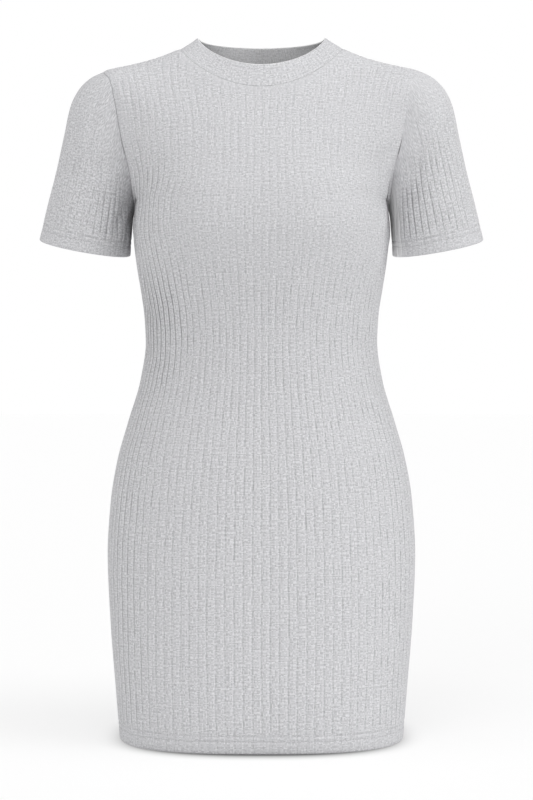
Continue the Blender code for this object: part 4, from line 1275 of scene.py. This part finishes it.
class DressYarn(bpy.types.PropertyGroup):
    light: colour_property("Light yarn", "Lighter fibres of the marl", (0.665, 0.665, 0.680))
    dark: colour_property("Dark yarn", "Darker fibres of the marl", (0.420, 0.420, 0.435))
    # both thread colours are darker than the yarn: painted shade along the rows of stitches
    thread: colour_property("Thread", "Sewing thread", (0.44, 0.44, 0.455))
    thread_dark: colour_property("Thread shade", "Shaded sewing thread", (0.28, 0.28, 0.29))


class DressStudio(bpy.types.PropertyGroup):
    key: FloatProperty(name="Lamps", description="Strength of the three soft lamps",
                       default=1.0, min=0.0, max=10.0)
    around: FloatProperty(name="Surrounding light", description="Strength of the even light",
                          default=0.41, min=0.0, max=5.0)
    floor: colour_property("Floor", "Colour of the plain floor", (0.33, 0.33, 0.33))
    glow: FloatProperty(name="Floor light", description="Light given off by the floor",
                        default=0.635, min=0.0, max=2.0)


# ---- operators ------------------------------------------------------------------------
def shared_material(name, maker, *arguments):
    """The material of that name, made when it is first asked for."""
    return bpy.data.materials.get(name) or maker(name, *arguments)


class DressStep:
    """Shared by the steps that add pieces of the dress."""

    bl_options = {"REGISTER", "UNDO"}

    def execute(self, context):
        self.build(context.scene.dress_sizes, context.scene.dress_yarn,
                   (BodyForm("front"), BodyForm("back")))
        return {"FINISHED"}


class DRESS_OT_front(DressStep, bpy.types.Operator):
    """Front of the dress: one panel from the turned-up hem to the neckline"""

    bl_idname = "dress.front"
    bl_label = "Front"

    def build(self, sizes, yarn, forms):
        add_cloth("front", build_panel(forms[0], sizes), sizes, yarn)


class DRESS_OT_back(DressStep, bpy.types.Operator):
    """Back of the dress: one panel from the turned-up hem to the back neck"""

    bl_idname = "dress.back"
    bl_label = "Back"

    def build(self, sizes, yarn, forms):
        add_cloth("back", build_panel(forms[1], sizes), sizes, yarn)


class DRESS_OT_sleeves(DressStep, bpy.types.Operator):
    """Two short set-in sleeves with turned-up cuffs"""

    bl_idname = "dress.sleeves"
    bl_label = "Sleeves"

    def build(self, sizes, yarn, forms):
        for hand in ("left", "right"):
            add_cloth("sleeve_" + hand, build_sleeve(hand, forms, sizes), sizes, yarn)


class DRESS_OT_neckband(DressStep, bpy.types.Operator):
    """Neckband: a strip folded double and sewn round the neckline"""

    bl_idname = "dress.neckband"
    bl_label = "Neckband"

    def build(self, sizes, yarn, forms):
        add_cloth("neckband", build_band(forms, sizes), sizes, yarn)


class DRESS_OT_seams(DressStep, bpy.types.Operator):
    """Overlocked seam allowances inside the side, shoulder, armhole and neck seams"""

    bl_idname = "dress.seams"
    bl_label = "Seam allowances"

    def build(self, sizes, yarn, forms):
        depth = sizes.wall + sizes.seam_sink + CLEARANCE
        k = np.linspace(-RIBS_NECK, RIBS_NECK, SEAM_POINTS["neck"])
        neck, hole = (
            [np.concatenate([first[:-1], second[:0:-1]]) for first, second in zip(*edges)]
            for edges in ([sunk_edge(form, k, top_of(k, form.side), 0.0) for form in forms],
                          [sunk_edge(form, *form.armhole_ribs(), 0.0) for form in forms]))
        z = np.linspace(HEM_Z + TURN_UP, ARMPIT_Z - SIDE_END, SEAM_POINTS["side"])
        side, outward = sunk_edge(forms[0], np.full(len(z), float(RIBS_HALF)), z, 0.0)
        k = np.linspace(RIBS_NECK, RIBS_SHOULDER, SEAM_POINTS["shoulder"])
        shoulder = forms[0].point(k, top_of(k, "front"))
        parts = [tape(neck[0], -unit(neck[1]), depth, True)]
        for run in ((side, -unit(outward * np.array([1.0, 0.0, 1.0])), depth, False),
                    (shoulder, np.tile([0.0, 0.0, -1.0], (len(k), 1)), depth, False),
                    (hole[0], -unit(hole[1]), depth, True)):
            parts += [tape(*run), mirrored(*tape(*run))]
        lay_sewing("seam_allowances", parts,
                   shared_material("overlocked_edge", overlock_material, yarn))


class DRESS_OT_stitching(DressStep, bpy.types.Operator):
    """Two rows of stitches round the hem and round each cuff"""

    bl_idname = "dress.stitching"
    bl_label = "Stitching"

    def build(self, sizes, yarn, forms):
        thread = shared_material("sewing_thread", thread_material, yarn)
        k = np.linspace(-RIBS_HALF + SIDE_RIBS, RIBS_HALF - SIDE_RIBS, STITCH_POINTS["hem"])
        flat, plain = np.zeros(len(k)), np.ones(len(k))
        parts = []
        for form in forms:
            for row in STITCH_ROWS:
                z = HEM_Z + row * plain
                line = dress_surface(form, k, z, flat, plain, sizes)[0]
                parts.append(row_of_stitches(line, form.normal(k, z), sizes))
        lay_sewing("hem_stitches", parts, thread)
        ribs = np.linspace(0.0, RIBS_SLEEVE, STITCH_POINTS["cuff"])
        rows = np.array(STITCH_ROWS)
        for hand in ("left", "right"):
            form = SleeveForm(*forms, sizes.seam_sink * SEAM_SHARE[hand])
            lines = sleeve_surface(form, ribs, rows, flat[:2], plain[:2], hand, sizes)[0]
            normals = form.normal(*form.lay_ribs(ribs, rows)[:2])
            parts = [row_of_stitches(*row, sizes) for row in zip(lines, normals)]
            if hand == "right":
                parts = [mirrored(*part) for part in parts]
            lay_sewing("cuff_stitches_" + hand, parts, thread)


class DRESS_OT_stage(bpy.types.Operator):
    """Plain floor, soft light and the camera"""

    bl_idname = "dress.stage"
    bl_label = "Studio"
    bl_options = {"REGISTER", "UNDO"}

    def execute(self, context):
        scene, studio = context.scene, context.scene.dress_studio
        reach, level = FLOOR_REACH, CAD_BOX[0][2] - CLEARANCE
        mesh = bpy.data.meshes.new("floor")
        mesh.from_pydata([(-reach, -reach, level), (reach, -reach, level),
                          (reach, reach, level), (-reach, reach, level)], [], [(0, 1, 2, 3)])
        mesh.materials.append(floor_material("plain_floor", studio.floor, studio.glow))
        floor = bpy.data.objects.new("floor", mesh)
        scene.collection.objects.link(floor)
        shop = Shop(bpy.data.worlds.new("studio"), "ShaderNodeOutputWorld")
        lit, seen = (shop.node("ShaderNodeBackground", None,
                               {"Color": WHITE, "Strength": strength})[0]
                     for strength in (studio.around, 1.0))
        camera_ray = shop.node("ShaderNodeLightPath")[0]
        scene.world = shop.show(
            shop.node("ShaderNodeMixShader", None, {0: camera_ray, 1: lit, 2: seen})[0])
        for name, turn, height, strength in LAMPS:
            turn, height = np.radians(turn), np.radians(height)
            aim = Vector((-np.sin(turn) * np.cos(height), np.cos(turn) * np.cos(height),
                          -np.sin(height)))
            data = bpy.data.lights.new(name, "SUN")
            data.energy = studio.key * strength
            data.angle = LAMP_WIDTH
            light = bpy.data.objects.new(name, data)
            light.rotation_euler = aim.to_track_quat("-Z", "Y").to_euler()
            scene.collection.objects.link(light)
        lens = bpy.data.cameras.new("camera")
        lens.sensor_fit = "VERTICAL"
        lens.sensor_height = CAMERA_SENSOR
        lens.lens = CAMERA_LENS
        camera = bpy.data.objects.new("camera", lens)
        camera.location = CAMERA_AT
        camera.rotation_euler = (np.pi / 2.0, 0.0, 0.0)
        scene.collection.objects.link(camera)
        scene.camera = camera
        scene.view_settings.view_transform = "Standard"
        return {"FINISHED"}


class DRESS_PT_panel(bpy.types.Panel):
    """Sizes, colours and the steps that build the dress"""

    bl_idname = "DRESS_PT_panel"
    bl_label = "Rib knit dress"
    bl_space_type = "VIEW_3D"
    bl_region_type = "UI"
    bl_category = "Dress"

    def draw(self, context):
        layout = self.layout
        for group in ("dress_sizes", "dress_yarn", "dress_studio"):
            settings = getattr(context.scene, group)
            box = layout.box()
            for name in settings.bl_rna.properties.keys():
                if name not in ("rna_type", "name"):
                    box.prop(settings, name)
        for operator in OPERATORS:
            layout.operator(operator.bl_idname)


OPERATORS = (DRESS_OT_front, DRESS_OT_back, DRESS_OT_sleeves, DRESS_OT_neckband,
             DRESS_OT_seams, DRESS_OT_stitching, DRESS_OT_stage)
SETTINGS = {"dress_sizes": DressSizes, "dress_yarn": DressYarn, "dress_studio": DressStudio}


def register():
    for settings in SETTINGS.values():
        bpy.utils.register_class(settings)
    for name, settings in SETTINGS.items():
        setattr(bpy.types.Scene, name, PointerProperty(type=settings))
    for item in (*OPERATORS, DRESS_PT_panel):
        bpy.utils.register_class(item)


def unregister():
    for item in reversed((*OPERATORS, DRESS_PT_panel)):
        bpy.utils.unregister_class(item)
    for name, settings in SETTINGS.items():
        delattr(bpy.types.Scene, name)
        bpy.utils.unregister_class(settings)


def main():
    """Build the dress and the studio."""
    register()
    bpy.ops.dress.front()
    bpy.ops.dress.back()
    bpy.ops.dress.sleeves()
    bpy.ops.dress.neckband()
    bpy.ops.dress.seams()
    bpy.ops.dress.stitching()
    bpy.ops.dress.stage()
    bpy.context.view_layer.update()


if __name__ == "__main__":
    main()
